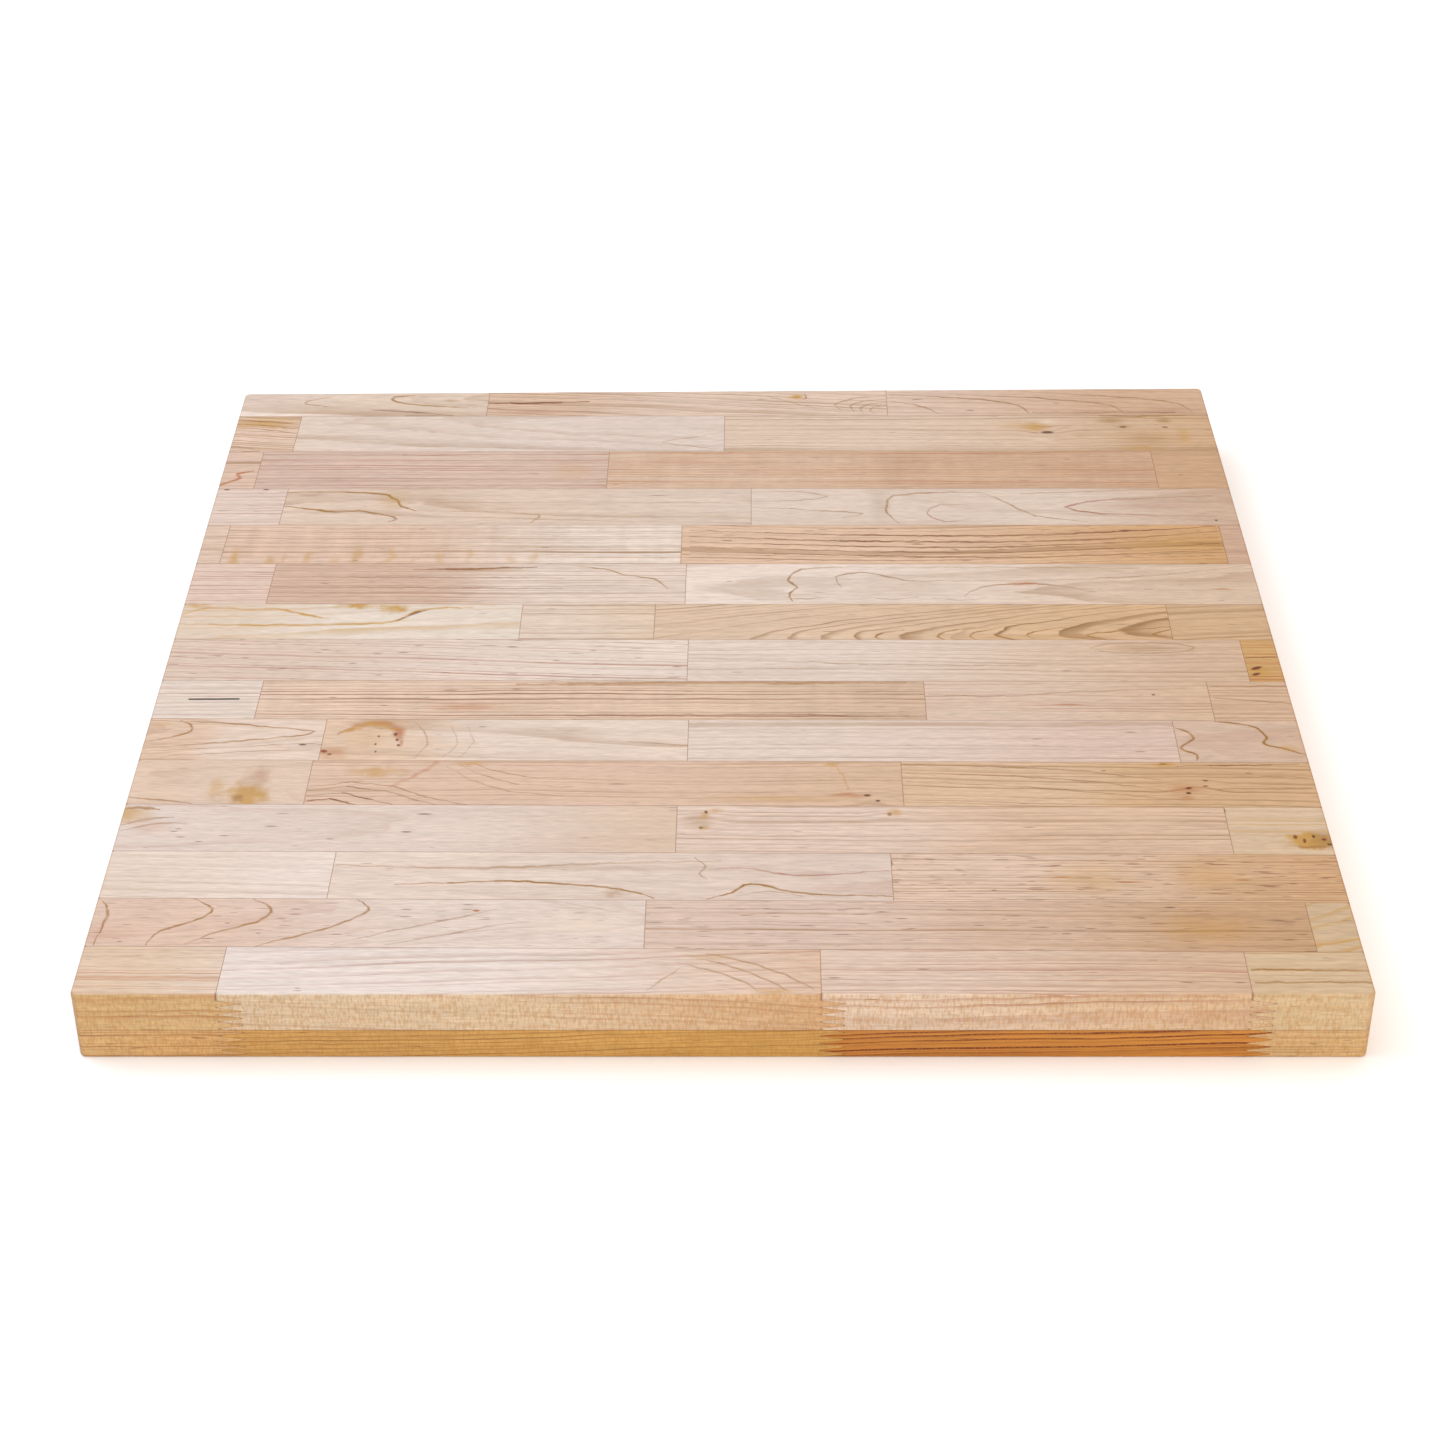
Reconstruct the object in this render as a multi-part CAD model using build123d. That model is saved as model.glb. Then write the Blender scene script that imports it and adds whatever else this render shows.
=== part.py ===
"""Square butcher-block table top in hard maple.

The top is built the way it is made.  Short boards are glued face to face in
two plies, the two-ply blocks are finger-jointed end to end into rails, and
fifteen rails are glued edge to edge into a blank.  The blank is sawn to a
square a little out of line with its rails, its corners are rounded and its
arrises are eased.

Every two-ply block is one node with two solids, its upper and its lower ply.
Units are millimetres.  X runs along the rails, +Y points to the back and +Z
up.  The origin is the centre of the underside.
"""

from build123d import *
from dataclasses import dataclass
from math import radians, tan
import os

# Overall size of the finished top
WIDTH = 609.6
DEPTH = 609.6
THICKNESS = 38.1

# Thickness of the plies: the upper one is set, the lower one is what is left
UPPER_PLY = 21.4

# Finger joint, seen from the front edge
FINGERS = 8
FINGER_LENGTH = 11.0
FINGER_TIP = 0.5
SHOULDER = 3.3

# Trimming of the blank
SKEW_DEG = 0.5
CORNER_RADIUS = 3.2
EASE_RADIUS = 1.2
TRIM_ALLOWANCE = 25.0

LOWER_PLY = THICKNESS - UPPER_PLY
FINGER_PITCH = (THICKNESS - SHOULDER) / FINGERS


@dataclass(frozen=True)
class Rail:
    """One rail: its sawn width and its blocks from left to right.

    A block is given by the length it shows on top.  None marks the one that
    takes up what is left when the top is made longer or shorter.
    """

    width: float
    blocks: tuple


# From the back edge to the front edge
RAILS = (
    Rail(34.2, (157, None, 200)),
    Rail(46.6, (40, 267, None)),
    Rail(46.8, (22, 214, None, 42)),
    Rail(44.0, (43, 280, None)),
    Rail(44.8, (14, 268, None, 13)),
    Rail(44.6, (47, 238, None)),
    Rail(37.4, (193, 75, None, 55)),
    Rail(42.4, (287, None, 19)),
    Rail(37.8, (56, None, 152, 43)),
    Rail(38.8, (95, 193, None, 66)),
    Rail(40.0, (92, None, 211)),
    Rail(40.6, (283, None, 50)),
    Rail(39.0, (113, None, 220)),
    Rail(38.2, (269, None, 22)),
    Rail(34.4, (69, None, 200, 57)),
)


def trimmed_outline():
    """The finished slab: a square with rounded corners and eased arrises."""
    slab = extrude(RectangleRounded(WIDTH, DEPTH, CORNER_RADIUS), THICKNESS)
    top_edges = slab.faces().sort_by(Axis.Z)[-1].edges()
    bottom_edges = slab.faces().sort_by(Axis.Z)[0].edges()
    return fillet(top_edges + bottom_edges, EASE_RADIUS)


def ply_envelopes(outline):
    """The two slices of the slab that the upper and lower plies must fill."""
    reach = max(WIDTH, DEPTH) * 2
    above = Pos(0, 0, LOWER_PLY + THICKNESS / 2) * Box(reach, reach, THICKNESS)
    below = Pos(0, 0, LOWER_PLY - THICKNESS / 2) * Box(reach, reach, THICKNESS)
    return outline & above, outline & below


def finger_profile(x):
    """Points up one finger joint whose line on the top face lies at x.

    The right-hand block keeps a straight shoulder under the top face.  Below
    it the two blocks' tapered fingers alternate down to the underside.
    """
    half_tip = FINGER_TIP / 2
    points = [(x, 0.0)]
    for finger in range(FINGERS):
        root = finger * FINGER_PITCH
        middle = root + FINGER_PITCH / 2
        points.append((x, root + half_tip))
        points.append((x + FINGER_LENGTH, middle - half_tip))
        points.append((x + FINGER_LENGTH, middle + half_tip))
        points.append((x, root + FINGER_PITCH - half_tip))
    points.append((x, THICKNESS))
    return points


def sawn_profile(x):
    """Points up a plain end that the trimming will saw away."""
    return [(x, 0.0), (x, THICKNESS)]


def end_profiles(rail, y_middle):
    """Profiles of every block end in a rail, from its left end to its right.

    Lengths are measured along the middle of the rail from the trimmed edge,
    which leans across the blank by the skew.
    """
    lean = y_middle * tan(radians(SKEW_DEG))
    left_edge = -WIDTH / 2 - lean
    right_edge = WIDTH / 2 - lean
    known = sum(length for length in rail.blocks if length is not None)
    filler = WIDTH - known
    profiles = [sawn_profile(left_edge - TRIM_ALLOWANCE)]
    x = left_edge
    for length in rail.blocks[:-1]:
        x += filler if length is None else length
        profiles.append(finger_profile(x))
    profiles.append(sawn_profile(right_edge + TRIM_ALLOWANCE))
    return profiles


def block_blank(left, right, y_back, width):
    """An untrimmed block between two end profiles."""
    side = Plane.XZ.offset(-y_back) * Polygon(*left, *reversed(right), align=None)
    return extrude(side, width, dir=(0, -1, 0))


def build_blocks():
    """Every block by node name, each with its upper and its lower ply."""
    upper_slice, lower_slice = ply_envelopes(trimmed_outline())
    scale = DEPTH / sum(rail.width for rail in RAILS)
    last_rail = len(RAILS) - 1
    y_back = DEPTH / 2
    blocks = {}
    for row, rail in enumerate(RAILS):
        width = rail.width * scale
        spare_back = TRIM_ALLOWANCE if row == 0 else 0.0
        spare_front = TRIM_ALLOWANCE if row == last_rail else 0.0
        profiles = end_profiles(rail, y_back - width / 2)
        for index in range(len(rail.blocks)):
            blank = block_blank(
                profiles[index],
                profiles[index + 1],
                y_back + spare_back,
                spare_back + width + spare_front,
            )
            blank = Rot(0, 0, -SKEW_DEG) * blank
            name = f"rail_{row + 1:02d}_block_{'abcd'[index]}"
            blocks[name] = (upper_slice & blank, lower_slice & blank)
        y_back -= width
    return blocks


def main():
    """Write one STEP file per block."""
    os.makedirs("parts", exist_ok=True)
    for name, plies in build_blocks().items():
        solids = [solid for ply in plies for solid in ply.solids()]
        node = Compound(solids)
        node.label = name
        export_step(node, f"parts/{name}.step")


if __name__ == "__main__":
    main()
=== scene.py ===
"""Square butcher-block table top in hard maple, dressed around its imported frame.

Fifteen rails run left to right.  Each is three or four two-ply blocks that
are finger-jointed end to end, and every block is rebuilt here with both its
plies as closed shells, eased arrises, a hairline of glue at its joints and
its own solid maple figure.  Lengths are millimetres unless a class says so.
"""

import logging
import math
import random
from collections.abc import Callable
from dataclasses import dataclass, field
from enum import Enum

import bmesh
import bpy
from mathutils import Matrix, Vector

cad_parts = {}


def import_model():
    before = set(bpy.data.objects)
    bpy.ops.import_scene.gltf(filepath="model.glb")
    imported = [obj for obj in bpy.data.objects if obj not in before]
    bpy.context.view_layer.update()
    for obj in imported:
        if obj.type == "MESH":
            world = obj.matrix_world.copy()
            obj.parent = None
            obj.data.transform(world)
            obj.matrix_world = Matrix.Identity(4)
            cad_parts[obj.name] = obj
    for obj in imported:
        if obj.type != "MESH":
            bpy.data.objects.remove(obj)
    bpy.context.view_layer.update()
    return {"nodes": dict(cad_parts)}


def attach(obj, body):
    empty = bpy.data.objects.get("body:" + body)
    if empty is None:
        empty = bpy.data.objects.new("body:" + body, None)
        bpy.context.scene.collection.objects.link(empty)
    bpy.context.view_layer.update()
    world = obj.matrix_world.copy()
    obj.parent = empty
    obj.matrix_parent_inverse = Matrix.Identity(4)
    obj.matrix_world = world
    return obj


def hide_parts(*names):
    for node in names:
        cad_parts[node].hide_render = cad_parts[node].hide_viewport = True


log = logging.getLogger("butcher_block")

MM = 0.001
WOOD_IOR = 1.5

# Drawn growth lines fade towards their sides, so they are this much wider and stronger
STROKE_GAIN = 1.25

# Millimetres: heights closer than this are one height, points closer than these are joined
SAME_HEIGHT = 0.01
WELD = 0.004
SLIVER = 0.001

# Faces that meet at a smaller angle than this are shaded as one surface, in degrees
SMOOTH_BELOW = 24

# Tags of a shell's two flat faces, after the four sides, and what a hidden one adds
TOP_TAG, BOTTOM_TAG, HIDDEN_STEP = 4, 5, 2

# Share of its real size at which a glued face is laid out in the flat pattern
GLUED_SCALE = 0.1
PATTERN_GAP = 0.008


def linear(hex_colour: str) -> tuple[float, float, float, float]:
    """Turn an sRGB hex colour into linear RGBA.

    Args:
        hex_colour: Six hex digits, with or without a leading hash.

    Returns:
        Linear red, green, blue and an alpha of one.
    """
    digits = hex_colour.lstrip("#")
    channels = [int(digits[i : i + 2], 16) / 255 for i in (0, 2, 4)]
    bent = [c / 12.92 if c <= 0.04045 else ((c + 0.055) / 1.055) ** 2.4 for c in channels]
    return (*bent, 1.0)


def add(
    tree: bpy.types.NodeTree, kind: str, links: dict | None = None, **settings: object,
) -> bpy.types.Node:
    """Add one node with its settings, its socket values and its links.

    Args:
        tree: The node tree that the node goes into.
        kind: The node's type name without its ShaderNode prefix.
        links: Socket name or number to a socket, a node or a plain value.
        **settings: Attributes of the node itself.

    Returns:
        The new node.
    """
    node = tree.nodes.new(kind if kind.startswith("Node") else "ShaderNode" + kind)
    for name, value in settings.items():
        setattr(node, name, value)
    for key, value in (links or {}).items():
        socket = node.inputs[key]
        if isinstance(value, bpy.types.Node):
            tree.links.new(value.outputs[0], socket)
        elif isinstance(value, bpy.types.NodeSocket):
            tree.links.new(value, socket)
        else:
            socket.default_value = value
    return node


class Mark(Enum):
    """Colours of what grows across a board's figure."""

    PITH = "#4A2000"
    KNOT = "#6A2C08"
    OLIVE = "#8A5E14"
    RUST = "#9E5A1E"
    UMBER = "#754218"
    FLECK = "#5C2A0C"
    SOOT = "#3A2818"
    CHALK = "#D2BDA6"
    GOLDEN = "#AC7E22"
    MAUVE = "#945F48"
    BROWN = "#876032"


PITH, KNOT, OLIVE, RUST, UMBER, FLECK, SOOT, CHALK, GOLDEN, MAUVE, BROWN = Mark


class Kind(Enum):
    """What a growth mark does to the board it is on."""

    SPOT = "mixes a colour in"
    SWELL = "bends the growth rings round it"


@dataclass(frozen=True)
class Feature:
    """One growth mark on a board, placed on the face it shows on.

    Attributes:
        kind: What it does.
        path: Its middle, or the points of a drawn line.  Each is a distance
            right of the slab's middle and a distance behind its front edge.
        a: Half its length along the grain, unused by a line.
        b: Half its width across the grain, or half a line's width.
        strength: Share of colour, or the swell in millimetres.
        mark: Its colour.
        turn: Degrees that its long axis is turned, anticlockwise from above.
        soft: Share of its radius over which it fades out.
        rough: How far its outline wanders, in millimetres.
        depth: Half its thickness below the face it shows on.
    """

    kind: Kind
    path: tuple[tuple[float, float], ...]
    a: float
    b: float
    strength: float
    mark: Mark = Mark.UMBER
    turn: float = 0.0
    soft: float = 1.0
    rough: float = 0.0
    depth: float = 6.0


def spot(
    x: float, y: float, a: float, b: float, mark: Mark, strength: float = 0.6, **more: float,
) -> Feature:
    """A soft patch of colour."""
    return Feature(Kind.SPOT, ((x, y),), a, b, strength, mark, **{"rough": 1.0, **more})


def knot(x: float, y: float, a: float, b: float, mark: Mark = PITH, strength: float = 0.9) -> Feature:
    """A small hard-edged pin knot."""
    return spot(x, y, a, b, mark, strength, soft=0.55, rough=0.8)


def fleck(
    x: float, y: float, length: float, mark: Mark = FLECK, strength: float = 0.6, **more: float,
) -> Feature:
    """A short dark dash along the grain."""
    more = {"soft": 0.7, "depth": 1.5, "b": 0.6, "rough": 0.25, **more}
    return Feature(Kind.SPOT, ((x, y),), length / 2, strength=strength, mark=mark, **more)


def flecks(mark: Mark, *dashes: tuple[float, float, float]) -> list[Feature]:
    """Several dashes of one colour, each given by its place and its length."""
    return [fleck(x, y, length, mark) for x, y, length in dashes]


def stroke(
    points: list[tuple[float, float]], b: float, mark: Mark, strength: float = 0.6, **more: float,
) -> Feature:
    """A growth line that wanders through some points."""
    more = {"rough": 1.6, "depth": 4.0, **more}
    return Feature(Kind.SPOT, tuple(points), 0.0, STROKE_GAIN * b, STROKE_GAIN * strength, mark, **more)


def swell(x: float, y: float, a: float, b: float, height: float) -> Feature:
    """A bulge in the growth rings, which draws loops or bends the lines."""
    return Feature(Kind.SWELL, ((x, y),), a, b, height, depth=30.0)


def rounded(points: list[Vector], passes: int) -> list[Vector]:
    """Round the corners of a drawn line by adding points between its own.

    Args:
        points: The line's points.
        passes: How many times a point is added to every run.

    Returns:
        The line's own points and the added ones, which keep its bends smooth.
    """
    for _ in range(passes if len(points) > 2 else 0):
        ends = [2 * points[0] - points[1], *points, 2 * points[-1] - points[-2]]
        finer = [points[0]]
        for before, p, q, after in zip(ends, ends[1:], ends[2:], ends[3:]):
            finer += [(9 * (p + q) - before - after) / 16, q]
        points = finer
    return points


@dataclass(frozen=True)
class Board:
    """The figure of one maple board, one ply of a block.

    Attributes:
        tone: Colour at the left end.
        far_tone: Colour at the right end.  On the top boards both tones hold painted light as well as the
            wood's own colour: across the top they run lighter and cooler to the left and darker and warmer to
            the right, as the light falls.
        fade: Where the change of tone is centred and how long it takes, as shares of its length.
        pith: Where the tree's heart runs: behind the rail's centre line, below the top.
        yaw: Lean of the heart towards the back, in degrees.
        dip: Lean of the heart towards the top, in degrees.
        spacing: Mean distance between growth rings.
        line: How strongly the rings' late wood shows.
        ink: Colour of the late wood.
        thin: Share of a ring that its late wood takes.
        warp: Slow waver of the rings.
        squiggle: Quick waver of the rings.
        curl: Strength of the light and dark bands across curly grain.
        flecks: How many stray mineral flecks the board has, from 0 to 1.
        edge: How much the sawn edges keep of red, green and blue, partly for the oil they soak up and partly
            as painted shade on the sides that face away from the light.
        features: Single growth marks.
    """

    tone: str
    far_tone: str
    fade: tuple[float, float] = (0.5, 0.8)
    pith: tuple[float, float] = (0.0, -60.0)
    yaw: float = 0.0
    dip: float = 0.0
    spacing: float = 3.0
    line: float = 0.35
    ink: Mark = Mark.BROWN
    thin: float = 0.55
    warp: float = 1.5
    squiggle: float = 0.3
    curl: float = 0.0
    flecks: float = 0.3
    edge: tuple[float, float, float] = (1.0, 0.96, 0.88)
    features: tuple[Feature, ...] = ()


@dataclass(frozen=True)
class OiledMaple:
    """Hard maple, sanded flush and wiped with oil.

    Sanding leaves an even satin surface with no open pores, so the gloss is
    broad and soft.  Oil darkens the sawn edges more than the face, and end
    grain most of all, because it soaks in deeper there.  The sawn edges are
    also deepened as painted shade on the sides that face away from the light.
    """

    roughness: float = 0.5
    sheen_level: float = 0.33
    glue: str = "#7A5230"
    glue_share: float = 0.9
    end_tint: str = "#E6CBA0"
    ray: str = "#A8742A"
    ray_share: float = 0.42
    ray_mm: tuple[float, float, float] = (0.9, 30.0, 3.2)
    fibre_mm: float = 0.9
    streak_mm: float = 2.4
    pore_mm: float = 0.35
    curl_mm: float = 9.0
    patch_mm: tuple[float, float, float] = (30.0, 4.0, 4.0)
    lean_from: float = 100.0
    most_runs: tuple[int, int] = (12, 26)
    gloss_drift: float = 0.05
    relief: float = 0.06 * MM

    @property
    def figure(self) -> bpy.types.NodeTree:
        """The shared node group, built when it is first asked for."""
        return bpy.data.node_groups.get("hard_maple_figure") or self.figure_group()

    def figure_group(self) -> bpy.types.NodeTree:
        """Build the node group that draws growth rings and fibre.

        Returns:
            The group, whose inputs are one board's own values.
        """
        tree = bpy.data.node_groups.new("hard_maple_figure", "ShaderNodeTree")
        sockets = (
            ("Place", "Vector"), ("Heart", "Vector"), ("Seed", "Float"), ("Swell", "Float"),
            ("Tone", "Color"), ("Far tone", "Color"), ("Fade start", "Float"), ("Fade end", "Float"),
            ("Spacing", "Float"), ("Line", "Float"), ("Ink", "Color"), ("Early wood", "Float"),
            ("Warp", "Float"), ("Squiggle", "Float"), ("Curl", "Float"), ("Fleck floor", "Float"),
        )
        for name, kind in sockets:
            tree.interface.new_socket(name, in_out="INPUT", socket_type="NodeSocket" + kind)
        tree.interface.new_socket("Color", in_out="OUTPUT", socket_type="NodeSocketColor")
        tree.interface.new_socket("Height", in_out="OUTPUT", socket_type="NodeSocketFloat")
        inputs = add(tree, "NodeGroupInput").outputs
        place, seed = inputs["Place"], inputs["Seed"]

        def noise(size_mm: tuple[float, float, float], offset: float, detail: float) -> bpy.types.Node:
            """Noise of a real size, stretched along the grain and set apart by the board's seed."""
            stretched = add(tree, "VectorMath", {0: place, 1: [1 / s for s in size_mm]}, operation="MULTIPLY")
            own = add(tree, "Math", {0: seed, 1: offset}, operation="ADD")
            return add(tree, "TexNoise", {"Vector": stretched, "W": own, "Scale": 1.0, "Detail": detail},
                       noise_dimensions="4D")

        def waver(
            size_mm: tuple[float, float, float], offset: float, detail: float, reach: float,
        ) -> bpy.types.Node:
            """Noise that wavers between minus and plus its reach."""
            return add(tree, "MapRange", {0: noise(size_mm, offset, detail), 1: 0.25, 2: 0.75,
                                          3: -reach, 4: reach}, clamp=False)

        # Growth rings: distance from the heart, wavering slowly and quickly
        slow = add(tree, "Math", {0: waver((150, 26, 26), 0.0, 1.5, 1), 1: inputs["Warp"]},
                   operation="MULTIPLY")
        quick = add(tree, "Math", {0: waver((24, 9, 9), 3.7, 2.0, 1), 1: inputs["Squiggle"]},
                    operation="MULTIPLY")
        across = add(tree, "VectorMath", {0: inputs["Heart"], 1: (0, 1, 1)}, operation="MULTIPLY")
        radius = add(tree, "VectorMath", {0: across}, operation="LENGTH").outputs["Value"]
        wavering = add(tree, "Math", {0: radius, 1: slow}, operation="ADD")
        swollen = add(tree, "Math", {0: quick, 1: inputs["Swell"]}, operation="ADD")
        bent = add(tree, "Math", {0: wavering, 1: swollen}, operation="ADD")
        even = add(tree, "Math", {0: bent, 1: inputs["Spacing"]}, operation="DIVIDE")
        pace = add(tree, "Math", {0: even, 1: 0.55}, operation="MULTIPLY")
        pace = add(tree, "TexNoise", {"Vector": add(tree, "CombineXYZ", {0: pace, 1: seed}), "Scale": 1.0,
                                      "Detail": 1.0})
        uneven = add(tree, "MapRange", {0: pace, 1: 0.25, 2: 0.75, 3: -0.8, 4: 0.8}, clamp=False)
        ring = add(tree, "Math", {0: even, 1: uneven}, operation="ADD")
        part = add(tree, "Math", {0: ring}, operation="FRACT")
        number = add(tree, "Math", {0: ring}, operation="FLOOR")
        index = add(tree, "CombineXYZ", {0: number, 1: seed})
        vigour = add(tree, "TexWhiteNoise", {"Vector": index}).outputs["Value"]
        vigour = add(tree, "MapRange", {0: vigour, 3: 0.3, 4: 1.0})

        # Late wood: a soft rise through each ring and a sharp end to it
        rise = add(tree, "MapRange", {0: part, 1: inputs["Early wood"], 2: 0.96},
                   interpolation_type="SMOOTHSTEP")
        fall = add(tree, "MapRange", {0: part, 1: 0.96, 2: 1.0, 3: 1.0, 4: 0.0})
        late = add(tree, "Math", {0: rise, 1: fall}, operation="MULTIPLY")
        late = add(tree, "Math", {0: late, 1: vigour}, operation="MULTIPLY")
        patchy = add(tree, "MapRange", {0: noise((70, 14, 14), 9.1, 1.0), 1: 0.3, 2: 0.65, 3: 0.8, 4: 2.2})
        late = add(tree, "Math", {0: late, 1: patchy}, operation="MULTIPLY")
        late = add(tree, "Math", {0: late, 1: inputs["Line"]}, operation="MULTIPLY")

        # Body colour, fading from one end to the other.  On the top boards the fade also carries painted
        # light, lighter to the left and darker to the right
        along = add(tree, "SeparateXYZ", {0: place}).outputs[0]
        drift = add(tree, "Math", {0: along, 1: waver((60, 12, 12), 5.3, 2.0, 18)}, operation="ADD")
        fade = add(tree, "MapRange", {0: drift, 1: inputs["Fade start"], 2: inputs["Fade end"]},
                   interpolation_type="SMOOTHSTEP")
        body = add(tree, "Mix", {0: fade, 6: inputs["Tone"], 7: inputs["Far tone"]}, data_type="RGBA")

        # Light and dark: mottle, curl, fibre and pores.  A real pore is finer than 0.1 mm,
        # and is drawn as coarse as it needs to show
        mottle = waver((75, 16, 16), 11.0, 2.0, 0.04)
        streak = waver((110, self.streak_mm, self.streak_mm), 12.0, 2.0, 0.08)
        fibre = waver((9, self.fibre_mm, self.fibre_mm), 13.0, 2.0, 0.15)
        band = waver((self.curl_mm, 45, 45), 15.0, 1.0, 1)
        ripple = waver((2.6, 14, 14), 17.0, 1.0, 0.35)
        curl = add(tree, "Math", {0: band, 1: ripple}, operation="ADD")
        curl_share = add(tree, "Math", {0: inputs["Curl"], 1: 0.07}, operation="MULTIPLY")
        curl = add(tree, "Math", {0: curl, 1: curl_share}, operation="MULTIPLY")
        pore = noise((3.2, self.pore_mm, self.pore_mm), 19.0, 1.0)
        pore = add(tree, "MapRange", {0: pore, 1: 0.60, 2: 0.72})
        grain = add(tree, "Math", {0: mottle, 1: fibre}, operation="ADD")
        curl = add(tree, "Math", {0: curl, 1: 1.0}, operation="ADD")
        grain = add(tree, "Math", {0: grain, 1: curl}, operation="ADD")
        grain = add(tree, "Math", {0: grain, 1: streak}, operation="ADD")
        pore_shade = add(tree, "Math", {0: pore, 1: 0.05}, operation="MULTIPLY")
        grain = add(tree, "Math", {0: grain, 1: pore_shade}, operation="SUBTRACT")
        lit = add(tree, "VectorMath", {0: body.outputs[2], 3: grain}, operation="SCALE")

        # Late wood over the body, then the stray mineral flecks
        lined = add(tree, "Mix", {0: late, 6: lit.outputs[0], 7: inputs["Ink"]}, data_type="RGBA")
        spark = noise((11, 0.9, 0.9), 23.0, 0.0)
        ceiling = add(tree, "Math", {0: inputs["Fleck floor"], 1: 0.035}, operation="ADD")
        dash = add(tree, "MapRange", {0: spark, 1: inputs["Fleck floor"], 2: ceiling, 4: 0.55})
        flecked = add(tree, "Mix", {0: dash, 6: lined.outputs[2], 7: linear(FLECK.value)}, data_type="RGBA")

        # Late wood stands a little proud of the sanded face, and pores sink in
        proud = add(tree, "Math", {0: late, 1: 0.4}, operation="MULTIPLY")
        sunk = add(tree, "Math", {0: pore, 1: 0.6}, operation="MULTIPLY")
        height = add(tree, "Math", {0: proud, 1: sunk}, operation="SUBTRACT")
        add(tree, "NodeGroupOutput", {"Color": flecked.outputs[2], "Height": height})
        return tree

    def dress(self, name: str, board: Board, block: "Block", seed: float) -> bpy.types.Material:
        """Make the material of one board.

        Args:
            name: Name of the material.
            board: The board's figure.
            block: The block that the board is part of.
            seed: Value that sets this board's noise apart.

        Returns:
            The material.
        """
        material = bpy.data.materials.new(name)
        material.use_nodes = True
        tree = material.node_tree
        tree.nodes.clear()
        group = self.figure
        slab = block.slab
        skew = math.radians(slab.skew)
        origin = Vector((block.start, block.middle, slab.thickness))

        def to_board(point: tuple[float, float]) -> Vector:
            """Turn a point of the slab into one of the board."""
            across = Matrix.Rotation(skew, 2) @ Vector((point[0], point[1] - slab.depth / 2))
            return across - origin.xy

        where = add(tree, "TexCoord").outputs["Object"]
        place = add(tree, "Mapping", {0: where, 1: -origin, 2: (0, 0, skew), 3: (1 / MM, 1 / MM, 1 / MM)})
        heart = add(tree, "Mapping", {0: place, 1: (-self.lean_from, -board.pith[0], -board.pith[1])})
        turn = (0, math.radians(board.dip), math.radians(-board.yaw))
        heart = add(tree, "Mapping", {0: heart, 2: turn})
        ragged = place
        if any(f.rough for f in board.features):
            shaky = add(tree, "TexNoise", {"Vector": place, "W": seed, "Scale": 0.13, "Detail": 3.0},
                        noise_dimensions="4D")
            ragged = add(tree, "VectorMath", {0: shaky.outputs["Color"], 1: (0.5, 0.5, 0.5)},
                         operation="SUBTRACT")
        # A material holds only so many drawn runs, so a board with many lines rounds them less
        runs = sum(len(f.path) - 1 for f in board.features)
        passes = sum(runs <= most for most in self.most_runs)
        masks = [self.mask(tree, f, place, ragged, to_board, passes) for f in board.features]
        lift = 0.0
        for feature, mask in zip(board.features, masks):
            if feature.kind is Kind.SWELL:
                lift = add(tree, "Math", {0: mask, 1: feature.strength, 2: lift}, operation="MULTIPLY_ADD")
        # The tones and their fade carry painted light across the top as well as the board's own colour
        centre, share = board.fade
        figure = add(tree, "Group", {
            "Place": place, "Heart": heart, "Seed": seed, "Swell": lift,
            "Tone": linear(board.tone), "Far tone": linear(board.far_tone),
            "Fade start": (centre - share / 2) * block.length,
            "Fade end": (centre + share / 2) * block.length,
            "Spacing": board.spacing, "Line": board.line, "Ink": linear(board.ink.value),
            "Early wood": 1 - board.thin, "Warp": board.warp, "Squiggle": board.squiggle,
            "Curl": board.curl, "Fleck floor": 0.86 - 0.16 * board.flecks,
        }, node_tree=group)
        colour = figure.outputs["Color"]

        # Drawn lines fade in and out along the grain
        patches = add(tree, "VectorMath", {0: place, 1: [1 / s for s in self.patch_mm]}, operation="MULTIPLY")
        patches = add(tree, "TexNoise", {"Vector": patches, "W": seed, "Scale": 1.0, "Detail": 2.0},
                      noise_dimensions="4D")
        patchy = add(tree, "MapRange", {0: patches, 1: 0.3, 2: 0.65, 3: 0.5, 4: 1.2})
        for feature, mask in zip(board.features, masks):
            if feature.kind is Kind.SWELL:
                continue
            share = add(tree, "Math", {0: mask, 1: feature.strength}, operation="MULTIPLY")
            if len(feature.path) > 1:
                share = add(tree, "Math", {0: share, 1: patchy}, operation="MULTIPLY", use_clamp=True)
            colour = add(tree, "Mix", {0: share, 6: colour, 7: linear(feature.mark.value)}, data_type="RGBA")
            colour = colour.outputs[2]
        # Sawn edges deepened partly for oil and partly as painted shade, end grain for oil, then rays and the
        # glue line
        colour = self.oil_shade_and_glue(tree, colour, place, board.edge)

        # Satin oil: a broad gloss that varies a little from place to place
        bump = add(tree, "Bump", {"Strength": 0.5, "Distance": self.relief,
                                  "Height": figure.outputs["Height"]})
        haze = add(tree, "TexNoise", {"Vector": place, "Scale": 0.06, "Detail": 3.0})
        gloss = add(tree, "MapRange", {0: haze, 1: 0.3, 2: 0.7, 3: self.roughness - self.gloss_drift,
                                       4: self.roughness + self.gloss_drift})
        surface = add(tree, "BsdfPrincipled", {
            "Base Color": colour, "Roughness": gloss, "IOR": WOOD_IOR,
            "Specular IOR Level": self.sheen_level, "Normal": bump,
        })
        add(tree, "OutputMaterial", {"Surface": surface})
        return material

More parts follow.
